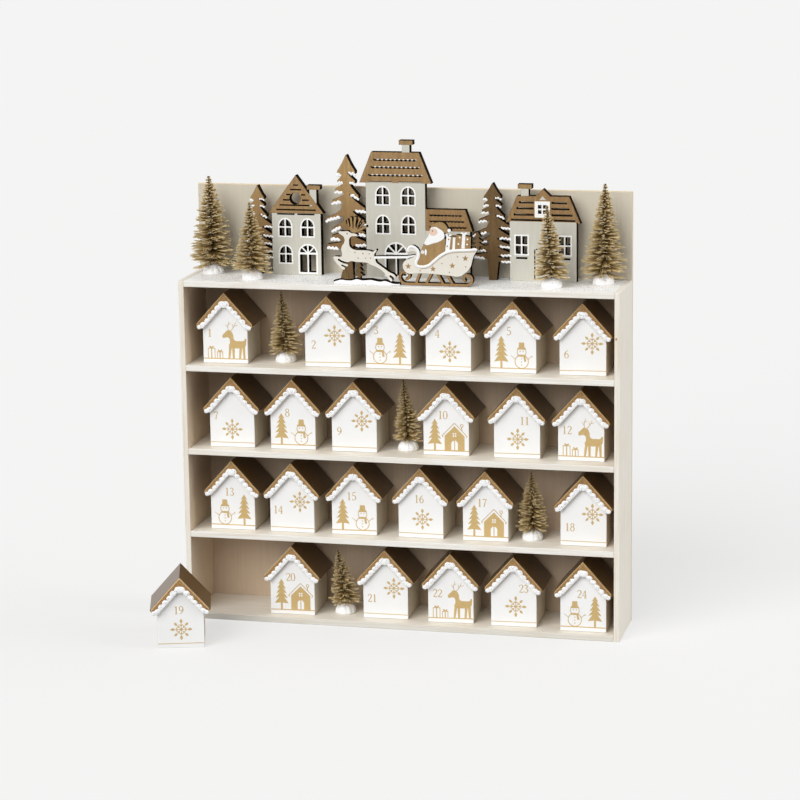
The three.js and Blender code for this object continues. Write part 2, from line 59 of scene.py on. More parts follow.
# %% Camera
turn, rise, roll = (math.radians(a) for a in (13.811, 12.121, -0.779))
back = Vector((math.sin(turn) * math.cos(rise), -math.cos(turn) * math.cos(rise), math.sin(rise)))
right = Vector((math.cos(turn), math.sin(turn), 0))
up = back.cross(right)
across = right * math.cos(roll) + up * math.sin(roll)
upward = up * math.cos(roll) - right * math.sin(roll)
aim = Matrix((across, upward, back)).transposed().to_4x4()
camera = bpy.data.objects.new("camera", bpy.data.cameras.new("camera"))
camera.data.lens = 127.95
camera.data.sensor_width = 36
camera.data.clip_end = 60
camera.matrix_world = Matrix.Translation((0.59105, -2.42624, 0.74082)) @ aim
bpy.context.scene.collection.objects.link(camera)
bpy.context.scene.camera = camera
print("camera distance", round(camera.matrix_world.translation.length, 2), "m")

# %% [markdown]
# Small helpers come first. Paint colours are picked as screen values, and shaders want them linear. A
# finished piece keeps its place in its mesh, rides on one body of the frame and carries its finishes.

# %% Helpers for colours and pieces
MM = 0.001


def paint(red, green, blue):
    """A screen colour from 0 to 255, as the linear colour that a shader takes."""
    def linear(value):
        value /= 255
        return value / 12.92 if value <= 0.04045 else ((value + 0.055) / 1.055) ** 2.4
    return (linear(red), linear(green), linear(blue), 1)


def add_piece(name, shape, body, finishes, stands_for=(), place=None, smooth=False):
    """Puts a shape drawn in millimetres into the scene as a finished piece."""
    mesh = shape
    if isinstance(shape, bmesh.types.BMesh):
        mesh = bpy.data.meshes.new(name)
        shape.to_mesh(mesh)
        shape.free()
    mesh.name = name
    mesh.transform((place or Matrix.Identity(4)) @ Matrix.Scale(MM, 4))
    mesh.polygons.foreach_set("use_smooth", [smooth] * len(mesh.polygons))
    for finish in finishes:
        mesh.materials.append(finish)
    piece = bpy.data.objects.new(name, mesh)
    bpy.context.scene.collection.objects.link(piece)
    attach(piece, body)
    if stands_for:
        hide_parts(*stands_for)
    return piece


def joined(*shapes):
    """One bmesh from several meshes or bmeshes, which are used up."""
    whole = bmesh.new()
    for shape in shapes:
        if isinstance(shape, bmesh.types.BMesh):
            mesh = bpy.data.meshes.new("part")
            shape.to_mesh(mesh)
            shape.free()
            shape = mesh
        whole.from_mesh(shape)
        bpy.data.meshes.remove(shape)
    return whole


print("helpers are ready")

# %% [markdown]
# Laser-cut wood is a flat outline with some thickness. A 2D curve fills such an outline, and an outline
# inside another one becomes a hole, so windows and slits come free. Its bevel takes the sharp edge off the
# cut. The flat front and back get the first finish, which is the paint, and the cut edges get the second
# one.

# %% Cut-outs and strokes
def curve_to_mesh(curve):
    holder = bpy.data.objects.new("drawing", curve)
    mesh = bpy.data.meshes.new_from_object(holder)
    bpy.data.objects.remove(holder)
    bpy.data.curves.remove(curve)
    return mesh


def cutout(loops, front, thickness, edge, soft=False):
    """A plate with its front face at y = front. Outlines in X and Z that lie inside others are holes."""
    curve = bpy.data.curves.new("outline", "CURVE")
    curve.dimensions = "2D"
    curve.fill_mode = "BOTH"
    curve.extrude = thickness / 2 - edge
    curve.bevel_depth = edge
    curve.bevel_resolution = 0
    curve.offset = -edge
    curve.resolution_u = 5
    for loop in loops:
        spline = curve.splines.new("BEZIER" if soft else "POLY")
        points = spline.bezier_points if soft else spline.points
        points.add(len(loop) - 1)
        for point, (x, z) in zip(points, loop):
            point.co = (x, z, 0) if soft else (x, z, 0, 1)
            if soft:
                point.handle_left_type = point.handle_right_type = "AUTO"
        spline.use_cyclic_u = True
    plate = bmesh.new()
    mesh = curve_to_mesh(curve)
    plate.from_mesh(mesh)
    bpy.data.meshes.remove(mesh)
    bmesh.ops.remove_doubles(plate, verts=plate.verts, dist=1e-3)
    bmesh.ops.recalc_face_normals(plate, faces=plate.faces)
    bmesh.ops.rotate(plate, verts=plate.verts, matrix=Matrix.Rotation(math.pi / 2, 3, "X"))
    bmesh.ops.translate(plate, verts=plate.verts, vec=(0, front + thickness / 2, 0))
    plate.normal_update()
    for face in plate.faces:
        face.material_index = 0 if abs(face.normal.y) > 0.9 else 1
    return plate


def strokes(lines, front, thickness, closed=False):
    """Flat pen strokes. Each line is a list of points (x, z, half width)."""
    curve = bpy.data.curves.new("pen", "CURVE")
    curve.dimensions = "3D"
    curve.bevel_depth = 1
    curve.bevel_resolution = 1
    curve.resolution_u = 4
    curve.use_fill_caps = True
    for line in lines:
        spline = curve.splines.new("BEZIER")
        spline.bezier_points.add(len(line) - 1)
        for point, (x, z, half) in zip(spline.bezier_points, line):
            point.co = (x, 0, z)
            point.radius = half
            point.handle_left_type = point.handle_right_type = "AUTO" if len(line) > 2 else "VECTOR"
        spline.use_cyclic_u = closed
    mesh = curve_to_mesh(curve)
    drawn = bmesh.new()
    drawn.from_mesh(mesh)
    bpy.data.meshes.remove(mesh)
    widest = max(half for line in lines for _, _, half in line)
    bmesh.ops.scale(drawn, verts=drawn.verts, vec=(1, thickness / 2 / widest, 1))
    bmesh.ops.translate(drawn, verts=drawn.verts, vec=(0, front, 0))
    return drawn


def rectangle(left, bottom, right_side, top):
    return [(left, bottom), (right_side, bottom), (right_side, top), (left, top)]


def disc(x, z, radius, sides, squash=1):
    angles = [2 * math.pi * i / sides for i in range(sides)]
    return [(x + radius * math.cos(a), z + radius * squash * math.sin(a)) for a in angles]


def strip(start, end, width):
    """A straight strip from start to end, as an outline."""
    start, end = Vector(start), Vector(end)
    side = (end - start).orthogonal().normalized() * width / 2
    return [tuple(p) for p in (start + side, end + side, end - side, start - side)]


print("drawing tools are ready")

# %% [markdown]
# Every finish is worked out from the coordinates of its piece, so nothing is painted by hand. Two effects
# come back in many of them, so they are node groups: wood grain, and fine specks such as glitter, board
# fibres or stray paint. A group only hands out masks, and each material decides what they do.

# %% Node groups for grain and specks
def add_node(tree, kind, inputs=None, **settings):
    node = tree.nodes.new(kind)
    for name, value in settings.items():
        setattr(node, name, value)
    for name, value in (inputs or {}).items():
        socket = node.inputs[name]
        if isinstance(value, bpy.types.NodeSocket):
            tree.links.new(value, socket)
        else:
            socket.default_value = value
    return node


def new_group(name, inputs, outputs):
    group = bpy.data.node_groups.new(name, "ShaderNodeTree")
    for label, kind, value in inputs:
        socket = group.interface.new_socket(label, in_out="INPUT", socket_type=kind)
        if value is not None:
            socket.default_value = value
    for label in outputs:
        group.interface.new_socket(label, in_out="OUTPUT", socket_type="NodeSocketFloat")
    return group, group.nodes.new("NodeGroupInput").outputs, group.nodes.new("NodeGroupOutput").inputs


grain, given, result = new_group(
    "wood grain",
    [("Vector", "NodeSocketVector", None), ("Wander", "NodeSocketFloat", 0.5)],
    ["Grain", "Pores", "Patches"],
)
drift = add_node(grain, "ShaderNodeTexNoise", {"Vector": given["Vector"], "Scale": 0.25, "Detail": 2})
shift = add_node(grain, "ShaderNodeVectorMath", {0: drift.outputs["Color"], "Scale": given["Wander"]},
                 operation="SCALE")
moved = add_node(grain, "ShaderNodeVectorMath", {0: given["Vector"], 1: shift.outputs[0]}, operation="ADD")
lines = add_node(
    grain, "ShaderNodeTexNoise", {"Vector": moved.outputs[0], "Scale": 1, "Detail": 5, "Roughness": 0.6}
)
fine = add_node(grain, "ShaderNodeTexNoise", {"Vector": moved.outputs[0], "Scale": 3.5, "Detail": 3})
pores = add_node(
    grain, "ShaderNodeMapRange", {"Value": fine.outputs["Fac"], "From Min": 0.56, "From Max": 0.72}
)
grain.links.new(lines.outputs["Fac"], result["Grain"])
grain.links.new(pores.outputs[0], result["Pores"])
grain.links.new(drift.outputs["Fac"], result["Patches"])

specks, given, result = new_group(
    "specks",
    [("Vector", "NodeSocketVector", None), ("Scale", "NodeSocketFloat", 1500),
     ("Amount", "NodeSocketFloat", 0.1)],
    ["Mask", "Shade"],
)
cells = add_node(specks, "ShaderNodeTexVoronoi", {"Vector": given["Vector"], "Scale": given["Scale"]})
chance = add_node(specks, "ShaderNodeSeparateColor", {"Color": cells.outputs["Color"]})
limit = add_node(specks, "ShaderNodeMath", {0: 1.0, 1: given["Amount"]}, operation="SUBTRACT")
chosen = add_node(specks, "ShaderNodeMath", {0: chance.outputs[0], 1: limit.outputs[0]},
                  operation="GREATER_THAN")
near = add_node(specks, "ShaderNodeMath", {0: cells.outputs["Distance"], 1: 0.42}, operation="LESS_THAN")
mask = add_node(specks, "ShaderNodeMath", {0: chosen.outputs[0], 1: near.outputs[0]}, operation="MULTIPLY")
specks.links.new(mask.outputs[0], result["Mask"])
specks.links.new(chance.outputs[1], result["Shade"])
print("node groups:", [g.name for g in bpy.data.node_groups])

# %% [markdown]
# A material starts from the Principled shader and the piece's own coordinates. The small functions below
# keep the recipes short: they stretch the coordinates along the grain, mix two colours by a mask, or turn a
# mask into a fine relief.

# %% Building blocks of a finish
def new_finish(name, roughness, metallic=0.0, specular=0.5):
    material = bpy.data.materials.new(name)
    material.use_nodes = True
    tree = material.node_tree
    shader = tree.nodes["Principled BSDF"]
    shader.inputs["Roughness"].default_value = roughness
    shader.inputs["Metallic"].default_value = metallic
    shader.inputs["Specular IOR Level"].default_value = specular
    where = tree.nodes.new("ShaderNodeTexCoord").outputs["Object"]
    return material, tree, shader, where


def stretched(tree, where, x, y, z):
    return add_node(tree, "ShaderNodeMapping", {"Vector": where, "Scale": (x, y, z)}).outputs[0]


def mixed(tree, mask, first, second, strength=1.0):
    """Two colours mixed by a mask. Less strength keeps more of the first."""
    if strength != 1.0:
        mask = add_node(tree, "ShaderNodeMath", {0: mask, 1: strength}, operation="MULTIPLY").outputs[0]
    node = add_node(tree, "ShaderNodeMix", data_type="RGBA")
    for socket, value in ((node.inputs[0], mask), (node.inputs[6], first), (node.inputs[7], second)):
        if isinstance(value, bpy.types.NodeSocket):
            tree.links.new(value, socket)
        else:
            socket.default_value = value
    return node.outputs[2]


def relief(tree, shader, height, strength, depth):
    bump = add_node(tree, "ShaderNodeBump", {"Height": height, "Strength": strength, "Distance": depth})
    tree.links.new(bump.outputs[0], shader.inputs["Normal"])


def use_group(tree, group, **inputs):
    return add_node(tree, "ShaderNodeGroup", inputs, node_tree=group).outputs


def noise(tree, where, scale, detail=2):
    inputs = {"Vector": where, "Scale": scale, "Detail": detail}
    return add_node(tree, "ShaderNodeTexNoise", inputs).outputs["Fac"]


def levels(tree, value, low, high):
    """The value stretched so that low becomes 0 and high becomes 1."""
    inputs = {"Value": value, "From Min": low, "From Max": high}
    return add_node(tree, "ShaderNodeMapRange", inputs).outputs[0]


def coat(tree, shader, mask, first, second, strength=1.0):
    """Gives the shader its colour, mixed from two by a mask."""
    tree.links.new(mixed(tree, mask, first, second, strength), shader.inputs["Base Color"])


def mottled(name, first, second, scale, roughness, specular=0.5, peel=False):
    """Two colours in soft patches. Sprayed paint has a trace of orange peel too."""
    material, tree, shader, where = new_finish(name, roughness, specular=specular)
    coat(tree, shader, noise(tree, where, scale), first, second)
    if peel:
        relief(tree, shader, noise(tree, where, 700), 0.12, 0.0002)
    return material


print("finish helpers are ready")

# %% [markdown]
# The cabinet is pine under a thin white wash. The wash pools in some places and lets the warm wood through
# in others, always along the grain, so one recipe serves every board with the grain turned its way. Inside
# the rows and under the boards the wash is painted darker and browner, which is painted shade, a little
# lighter on the inner side of the left board. The backdrop is painted darker than the front boards, as
# painted shade from the village, and the lowest front edge greyer, as painted shade too. Board ends and
# the long front edges have been rubbed through a little more.

# %% Whitewashed pine
def whitewash(name, along, wash, wood, strength):
    material, tree, shader, where = new_finish(name, 0.62, specular=0.35)
    across_grain, with_grain = 620, 14
    scales = [across_grain] * 3
    scales["XYZ".index(along)] = with_grain
    lines = use_group(tree, grain, Vector=stretched(tree, where, *scales), Wander=1.5)
    colour = mixed(tree, levels(tree, lines["Grain"], 0.42, 0.78), wash, wood, strength)
    colour = mixed(tree, lines["Pores"], colour, wood, strength * 0.5)
    worn = levels(tree, noise(tree, where, 22, 3), 0.5, 0.8)
    coat(tree, shader, worn, colour, wood, strength * 0.45)
    relief(tree, shader, lines["Grain"], 0.25, 0.0004)
    return material


cream, bare_pine = paint(243, 238, 227), paint(205, 178, 142)
shelf_wash = whitewash("whitewash along the shelves", "X", cream, bare_pine, 0.4)
side_wash = whitewash("whitewash up the sides", "Z", cream, bare_pine, 0.3)
edge_wash = whitewash("rubbed shelf edges", "X", paint(242, 241, 235), paint(206, 182, 146), 0.5)
# The lowest edge is painted greyer than the other edges, which is painted shade.
shaded_foot_edge_wash = whitewash("rubbed lowest edge with painted shade", "X", paint(228, 225, 216), paint(198, 174, 138), 0.5)
side_edge_wash = whitewash("rubbed side edges", "Z", paint(240, 236, 226), paint(206, 180, 142), 0.5)
# The inside wash is painted darker and browner than the front as painted shade, and lighter on the left
# board's inner side.
shaded_inside_wash = whitewash("wash inside with painted shade", "Z", paint(212, 192, 168), paint(182, 152, 120), 0.3)
lightly_shaded_inside_wash = whitewash("wash on the left inner side with lighter painted shade", "Z", paint(232, 214, 190), paint(204, 176, 144),
                             0.3)
# The backdrop's wash is painted darker than the front boards, as painted shade from the village in front of
# it.
shaded_backdrop_wash = whitewash("whitewash on the backdrop with painted shade", "Z", paint(214, 206, 188), paint(200, 188, 164), 0.25)
backdrop_edge = whitewash("bare backdrop edge", "X", paint(232, 214, 182), paint(206, 172, 128), 0.5)
print("cabinet finishes are ready")

# %% [markdown]
# Snow on this kind of decoration is white paint with fine glitter in it, over a slightly lumpy ground. Its
# specks are much smoother than the rest, and each is painted a grey from dark to white as painted glint.

# %% Glitter snow
def glitter_snow(name, ground, shade, amount, scale, lumps):
    dull, shiny = 0.6, 0.12
    material, tree, shader, where = new_finish(name, dull)
    flakes = use_group(tree, specks, Vector=where, Scale=scale, Amount=amount)
    clouds = noise(tree, where, lumps, 4)
    colour = mixed(tree, levels(tree, clouds, 0.4, 0.75), ground, shade, 0.5)
    # Each speck's grey, from dark to pure white, is a painted glint.
    painted_glint = mixed(tree, flakes["Shade"], paint(118, 122, 126), paint(255, 255, 255))
    coat(tree, shader, flakes["Mask"], colour, painted_glint, 0.8)
    smooth = add_node(tree, "ShaderNodeMapRange", {"Value": flakes["Mask"], "To Min": dull, "To Max": shiny})
    tree.links.new(smooth.outputs[0], shader.inputs["Roughness"])
    relief(tree, shader, clouds, 0.4, 0.0005)
    return material


icing_white = glitter_snow("glitter icing", paint(254, 254, 254), paint(214, 217, 220), 0.42, 1000, 800)
foot_white = glitter_snow("snowy tree foot", paint(250, 250, 250), paint(238, 238, 238), 0.12, 1800, 420)
snowy_top = glitter_snow("snow on the top board", paint(253, 253, 251), paint(240, 237, 231), 0.3, 1100, 90)
branch_snow = glitter_snow("snow on the firs", paint(252, 252, 252), paint(238, 240, 242), 0.18, 1500, 700)
print("snow finishes are ready")

# %% [markdown]
# The little houses are sprayed a smooth matt white over board, so only a trace of orange peel shows. Their
# roof slabs are stained dark brown, with a soft sheen that picks up the light at a low angle. The gable
# trim is bare fibreboard, tan with darker fibres, and its rubbed edges are paler.

# %% House finishes
house_white = mottled("smooth white paint", paint(249, 249, 248), paint(240, 240, 239), 45, 0.5, 0.4,
                      peel=True)
# The side walls are painted darker and warmer than the front, as painted shade and bounced light.
shaded_house_sides = mottled("side walls with painted shade", paint(222, 212, 194), paint(210, 200, 180), 60, 0.6, 0.3, peel=True)

roof_stain, tree, shader, where = new_finish("dark brown roof stain", 0.3, specular=0.5)
lines = use_group(tree, grain, Vector=stretched(tree, where, 380, 26, 380), Wander=1.0)
colour = mixed(tree, lines["Grain"], paint(84, 58, 22), paint(108, 78, 36))
coat(tree, shader, lines["Pores"], colour, paint(64, 44, 20), 0.5)
relief(tree, shader, lines["Grain"], 0.2, 0.0003)


def fibreboard(name, dark, light, fibre, amount):
    material, tree, shader, where = new_finish(name, 0.8, specular=0.25)
    fibres = use_group(tree, specks, Vector=where, Scale=1300, Amount=amount)
    cloud = noise(tree, where, 700, 4)
    coat(tree, shader, fibres["Mask"], mixed(tree, cloud, dark, light), fibre, 0.6)
    relief(tree, shader, cloud, 0.3, 0.0003)
    return material


gable_board = fibreboard("gable board", paint(126, 94, 56), paint(196, 158, 106), paint(84, 60, 34), 0.6)
board_edge = fibreboard("rubbed board edge", paint(206, 172, 122), paint(234, 204, 154), paint(164, 128, 80),
                        0.15)

gold_print = mottled("gold-brown print", paint(186, 154, 94), paint(216, 188, 130), 900, 0.5)
print("house finishes are ready")

# %% [markdown]
# The village and the sleigh are laser-cut plywood. The beam chars the cut almost black, and the fronts are
# painted cream or white, or stained brown so that the grain shows. The darkest brown is painted shade, and
# the darker brown of the right roofs is painted shade on the annex roof and the runner.

# %% Village finishes
def stained(name, dark, light, foot=None):
    """Brown stain. With a foot colour it darkens towards the bottom of the village."""
    material, tree, shader, where = new_finish(name, 0.7, specular=0.3)
    lines = use_group(tree, grain, Vector=stretched(tree, where, 420, 420, 36), Wander=2.0)
    spots = use_group(tree, specks, Vector=where, Scale=900, Amount=0.34)
    colour = mixed(tree, lines["Grain"], dark, light)
    colour = mixed(tree, lines["Pores"], colour, dark, 0.6)
    if foot:
        height = add_node(tree, "ShaderNodeSeparateXYZ", {"Vector": where}).outputs["Z"]
        colour = mixed(tree, levels(tree, height, 0.405, 0.35), colour, foot, 0.8)
    coat(tree, shader, spots["Mask"], colour, dark, 0.5)
    relief(tree, shader, lines["Grain"], 0.25, 0.0003)
    return material


def brushed(name, first, second):
    material, tree, shader, where = new_finish(name, 0.6, specular=0.35)
    lines = use_group(tree, grain, Vector=stretched(tree, where, 300, 300, 40), Wander=1.0)
    spots = use_group(tree, specks, Vector=where, Scale=1500, Amount=0.08)
    coat(tree, shader, spots["Mask"], mixed(tree, lines["Grain"], first, second), second, 0.6)
    relief(tree, shader, lines["Grain"], 0.15, 0.0002)
    return material


fir_stain = stained("brown stain on the firs", paint(144, 112, 70), paint(202, 168, 116),
                    foot=paint(112, 84, 50))
roof_brown = stained("brown stain on the village roofs", paint(126, 96, 60), paint(186, 154, 108))
# A darker brown for the right fir, the stump and the small firs, which is painted shade.
painted_shade_brown = stained("brown stain with painted shade", paint(78, 58, 32), paint(128, 100, 62))
# A darker stain on the right cottage roof, which also serves as painted shade on the annex roof and runner.
dark_stain_and_shade_brown = stained("darker stain on the right roofs with painted shade", paint(120, 90, 56), paint(176, 142, 96))
wall_cream = brushed("cream wall paint", paint(213, 211, 200), paint(198, 194, 181))
frame_white = brushed("white window paint", paint(253, 253, 251), paint(246, 246, 243))
scene_cream = brushed("cream on the sleigh", paint(236, 231, 221), paint(225, 219, 205))
coat_brown = stained("brown on the coat and gifts", paint(138, 108, 66), paint(190, 156, 108))

charred, tree, shader, where = new_finish("charred cut", 0.95, specular=0.05)
soot = noise(tree, stretched(tree, where, 900, 120, 900), 1, 3)
coat(tree, shader, soot, paint(9, 6, 4), paint(30, 20, 12))
relief(tree, shader, soot, 0.3, 0.0003)
print("village finishes are ready")

# %% [markdown]
# A bottle-brush tree is cut from a twist of wire with crimped bristles. Their colour runs from dark at the
# wire to pale at the tips, which is painted shade where they are packed together and painted light at the
# tips. A reach value on each vertex tells the shader how far out a point lies. The wire is dark, with a
# little of the glitter that the whole tree was dusted with.

# %% Tree finishes
bristle_gold, tree, shader, where = new_finish("golden bristles", 0.4, specular=0.5)
reach = add_node(tree, "ShaderNodeAttribute", attribute_name="reach").outputs["Fac"]
# Dark at the wire is painted shade, and the pale tips are painted light.
shade_and_light_ramp = add_node(tree, "ShaderNodeValToRGB", {"Fac": reach})
shade_and_light_ramp.color_ramp.elements[0].color = paint(60, 44, 22)
shade_and_light_ramp.color_ramp.elements[1].color = paint(255, 247, 214)
for position, colour in ((0.4, paint(148, 120, 68)), (0.75, paint(222, 200, 148))):
    shade_and_light_ramp.color_ramp.elements.new(position).color = colour
coat(tree, shader, noise(tree, where, 420), shade_and_light_ramp.outputs[0], paint(174, 144, 90), 0.4)

wire_dark, tree, shader, where = new_finish("twisted wire", 0.4, metallic=0.6)
dust = use_group(tree, specks, Vector=where, Scale=1300, Amount=0.2)
colour = mixed(tree, noise(tree, where, 800), paint(36, 28, 20), paint(80, 66, 48))
coat(tree, shader, dust["Mask"], colour, paint(214, 222, 214), 0.8)
print("materials so far:", len(bpy.data.materials))

# %% [markdown]
# A product picture needs very little around it: a pale floor without an edge, a soft sky and two broad
# lamps, one in front on the left and a weaker one on the right, so that no side of the cabinet falls dark.
# The floor adds just enough light of its own for the camera to read as white, and still takes the shadow.

# %% Floor, sky and lamps
def seen_directly(tree):
    path = tree.nodes.new("ShaderNodeLightPath").outputs
    either = add_node(tree, "ShaderNodeMath", {0: path["Is Camera Ray"], 1: path["Is Glossy Ray"]},
                      operation="MAXIMUM")
    through = {0: either.outputs[0], 1: path["Is Transmission Ray"]}
    return add_node(tree, "ShaderNodeMath", through, operation="MAXIMUM").outputs[0]


paper_grey, paper_glow = 0.35, 0.56
sky_light, sky_seen = 0.42, 0.905
ground = bmesh.new()
bmesh.ops.create_grid(ground, x_segments=1, y_segments=1, size=30)
floor_mesh = bpy.data.meshes.new("floor")
ground.to_mesh(floor_mesh)
ground.free()
floor = bpy.data.objects.new("floor", floor_mesh)
bpy.context.scene.collection.objects.link(floor)
paper = bpy.data.materials.new("studio paper")
paper.use_nodes = True
tree = paper.node_tree
tree.nodes.remove(tree.nodes["Principled BSDF"])
matt = add_node(tree, "ShaderNodeBsdfDiffuse", {"Color": (paper_grey, paper_grey, paper_grey, 1)})
glow = add_node(tree, "ShaderNodeEmission", {"Color": (1, 1, 0.99, 1)})
strength = add_node(tree, "ShaderNodeMath", {0: seen_directly(tree), 1: paper_glow}, operation="MULTIPLY")
tree.links.new(strength.outputs[0], glow.inputs["Strength"])
both = add_node(tree, "ShaderNodeAddShader", {0: matt.outputs[0], 1: glow.outputs[0]})
tree.links.new(both.outputs[0], tree.nodes["Material Output"].inputs["Surface"])
floor_mesh.materials.append(paper)

sky = bpy.data.worlds.new("studio")
bpy.context.scene.world = sky
sky.use_nodes = True
tree = sky.node_tree
level = add_node(
    tree, "ShaderNodeMapRange", {"Value": seen_directly(tree), "To Min": sky_light, "To Max": sky_seen}
)
tree.nodes["Background"].inputs["Color"].default_value = (1, 1, 1, 1)
tree.links.new(level.outputs[0], tree.nodes["Background"].inputs["Strength"])


def broad_lamp(name, towards, energy, angle):
    lamp = bpy.data.objects.new(name, bpy.data.lights.new(name, "SUN"))
    lamp.data.energy = energy
    lamp.data.angle = math.radians(angle)
    lamp.rotation_euler = Vector(towards).to_track_quat("Z", "Y").to_euler()
    bpy.context.scene.collection.objects.link(lamp)


broad_lamp("front lamp", (-0.35, -0.85, 0.6), 2.3, 50)
broad_lamp("side lamp", (0.95, 0.12, 0.35), 1.5, 50)
bpy.context.scene.view_settings.view_transform = "Standard"
print("lamps:", [light.name for light in bpy.data.lights])

# %% [markdown]
# The cabinet is made of plain sawn boards: two sides, a tall back that doubles as a backdrop, a top, three
# shelves and a bottom. A saw and some sandpaper leave small even rounds on the edges, so each board is a
# cube with its edges bevelled. The thin front edges and the rounds have lost a little more of their wash.

# %% Cabinet boards
def board(low, high, worn, inside=None, round_off=0.5):
    """A softened board. Worn sides and rounds get the second finish, and the side facing inside, which for a
    shelf is its underside, gets the third, which has painted shade.
    """
    shape = bmesh.new()
    bmesh.ops.create_cube(shape, size=1)
    bmesh.ops.scale(shape, verts=shape.verts, vec=high - low)
    bmesh.ops.translate(shape, verts=shape.verts, vec=(low + high) / 2)
    bmesh.ops.bevel(
        shape, geom=shape.edges, offset=round_off, offset_type="OFFSET", affect="EDGES",
        segments=2, profile=0.5, material=-1,
    )
    shape.normal_update()
    for face in shape.faces:
        flat = max(abs(value) for value in face.normal) > 0.999
        face.material_index = int(not flat or any(face.normal.dot(Vector(way)) > 0.9 for way in worn))
        if inside and face.normal.dot(Vector(inside)) > 0.9:
            face.material_index = 2
    return shape


def in_mm(node):
    low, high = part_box(node)
    return low / MM, high / MM


front_way, up_way, down_way = (0, -1, 0), (0, 0, 1), (0, 0, -1)
# A side board's inner face gets the wash with painted shade.
for name, inwards, inner_shading_wash in (("left_side", 1, lightly_shaded_inside_wash), ("right_side", -1, shaded_inside_wash)):
    add_piece(name + "_board", board(*in_mm(name), [front_way], (inwards, 0, 0)), "cabinet",
              [side_wash, side_edge_wash, inner_shading_wash], [name])
backdrop = board(*in_mm("back_board"), [up_way])
ceiling = in_mm("top_board")[0].z
everything = backdrop.verts[:] + backdrop.edges[:] + backdrop.faces[:]
bmesh.ops.bisect_plane(backdrop, geom=everything, plane_co=(0, 0, ceiling), plane_no=up_way)
# Inside the rows the backdrop's front gets the wash with painted shade.
for face in backdrop.faces:
    if face.normal.y < -0.9 and face.calc_center_median().z < ceiling:
        face.material_index = 2
add_piece("backdrop_board", backdrop, "cabinet", [shaded_backdrop_wash, backdrop_edge, shaded_inside_wash],
          ["back_board"])

inner_left, inner_right = in_mm("left_side")[1].x, in_mm("right_side")[0].x
thickness = 5.5
shelf_top = {}
for name in ("upper_shelf", "middle_shelf", "lower_shelf", "bottom_board", "top_board"):
    low, high = in_mm(name)
    low.x, high.x, high.z = inner_left, inner_right, low.z + thickness
    shelf_top[name] = high.z
    top_finish, slot = (snowy_top, "snowy_pine") if name == "top_board" else (shelf_wash, "whitewashed_pine")
    # The bottom board's front edge gets the greyer wash with painted shade.
    front_finish = shaded_foot_edge_wash if name == "bottom_board" else edge_wash
    # A shelf's underside gets the wash with painted shade.
    add_piece(name + "_plank", board(low, high, [front_way], down_way), "cabinet",
              [top_finish, front_finish, shaded_inside_wash], [name])
print("board tops at", {name: round(z, 1) for name, z in shelf_top.items()})

# %% [markdown]
# A knot shows on the front edge of the right side, a little above the middle: a small dark oval pressed
# almost flush with the wood.

# %% Knot in the right side
knot_wood = mottled("knot", paint(150, 104, 60), paint(190, 150, 104), 2500, 0.6)
knot_inset, knot_height = 1.6, 273
side_low = in_mm("right_side")[0]
knot = bmesh.new()
bmesh.ops.create_uvsphere(knot, u_segments=16, v_segments=8, radius=1)
bmesh.ops.scale(knot, verts=knot.verts, vec=(0.8, 0.12, 1.2))
bmesh.ops.translate(knot, verts=knot.verts, vec=(side_low.x + knot_inset, side_low.y, knot_height))
add_piece("knot", knot, "cabinet", [knot_wood], smooth=True)
print("knot at x", round(side_low.x + knot_inset, 1))

# %% [markdown]
# Each house is the same little box. Its pitch, width and heights come back in every piece of it, and a
# point of the roof is most easily given as a distance down the slope and a depth below the roof's top
# surface. Where a house stands is read from the four bottom corners of its box in the frame.

# %% House sizes and places
pitch = math.radians(48)
ridge_height = 64.5
half_roof = 26.8
slope_length = half_roof / math.cos(pitch)
slab, slab_front, slab_run = 3.5, -24.9, 49.9
front_face, gable_front, gable_thickness = -24, -27.5, 2.45


def on_roof(down, depth, side=1):
    """A point of the gable, down the slope from the ridge and below the roof's top surface."""
    x = down * math.cos(pitch) - depth * math.sin(pitch)
    return (side * x, ridge_height - down * math.sin(pitch) - depth * math.cos(pitch))


def under_ridge(depth):
    """The point on the middle line at that depth below both top surfaces."""
    return (0, ridge_height - depth / math.cos(pitch))


def house_place(number):
    """The matrix from house millimetres to the frame."""
    mesh = nodes[f"house_{number:02d}_box"].data
    lowest = min(v.co.z for v in mesh.vertices)
    corners = {tuple(round(c, 6) for c in v.co) for v in mesh.vertices if v.co.z < lowest + 1e-5}
    corners = sorted((Vector(c) for c in corners), key=lambda c: c.y)
    left, right_corner = sorted(corners[:2], key=lambda c: c.x)
    middle = sum(corners, Vector()) / len(corners)
    angle = math.atan2(right_corner.y - left.y, right_corner.x - left.x)
    return Matrix.Translation(middle) @ Matrix.Rotation(angle, 4, "Z")


places = {number: house_place(number) for number in range(1, 25)}
box_body = {number: f"house_{number:02d}" for number in places}
lid_body = {**box_body, 19: "house_19_lid"}
print("house 19 stands at", [round(c, 3) for c in places[19].translation])

# %% [markdown]
# The box is folded from thin board and sprayed white. It's taken from the frame, its triangles are joined
# back into flat panels, and its edges are rounded a little so that they catch the light. The two side walls
# are painted a darker, warmer white than the front, which is painted shade and warm bounced light.

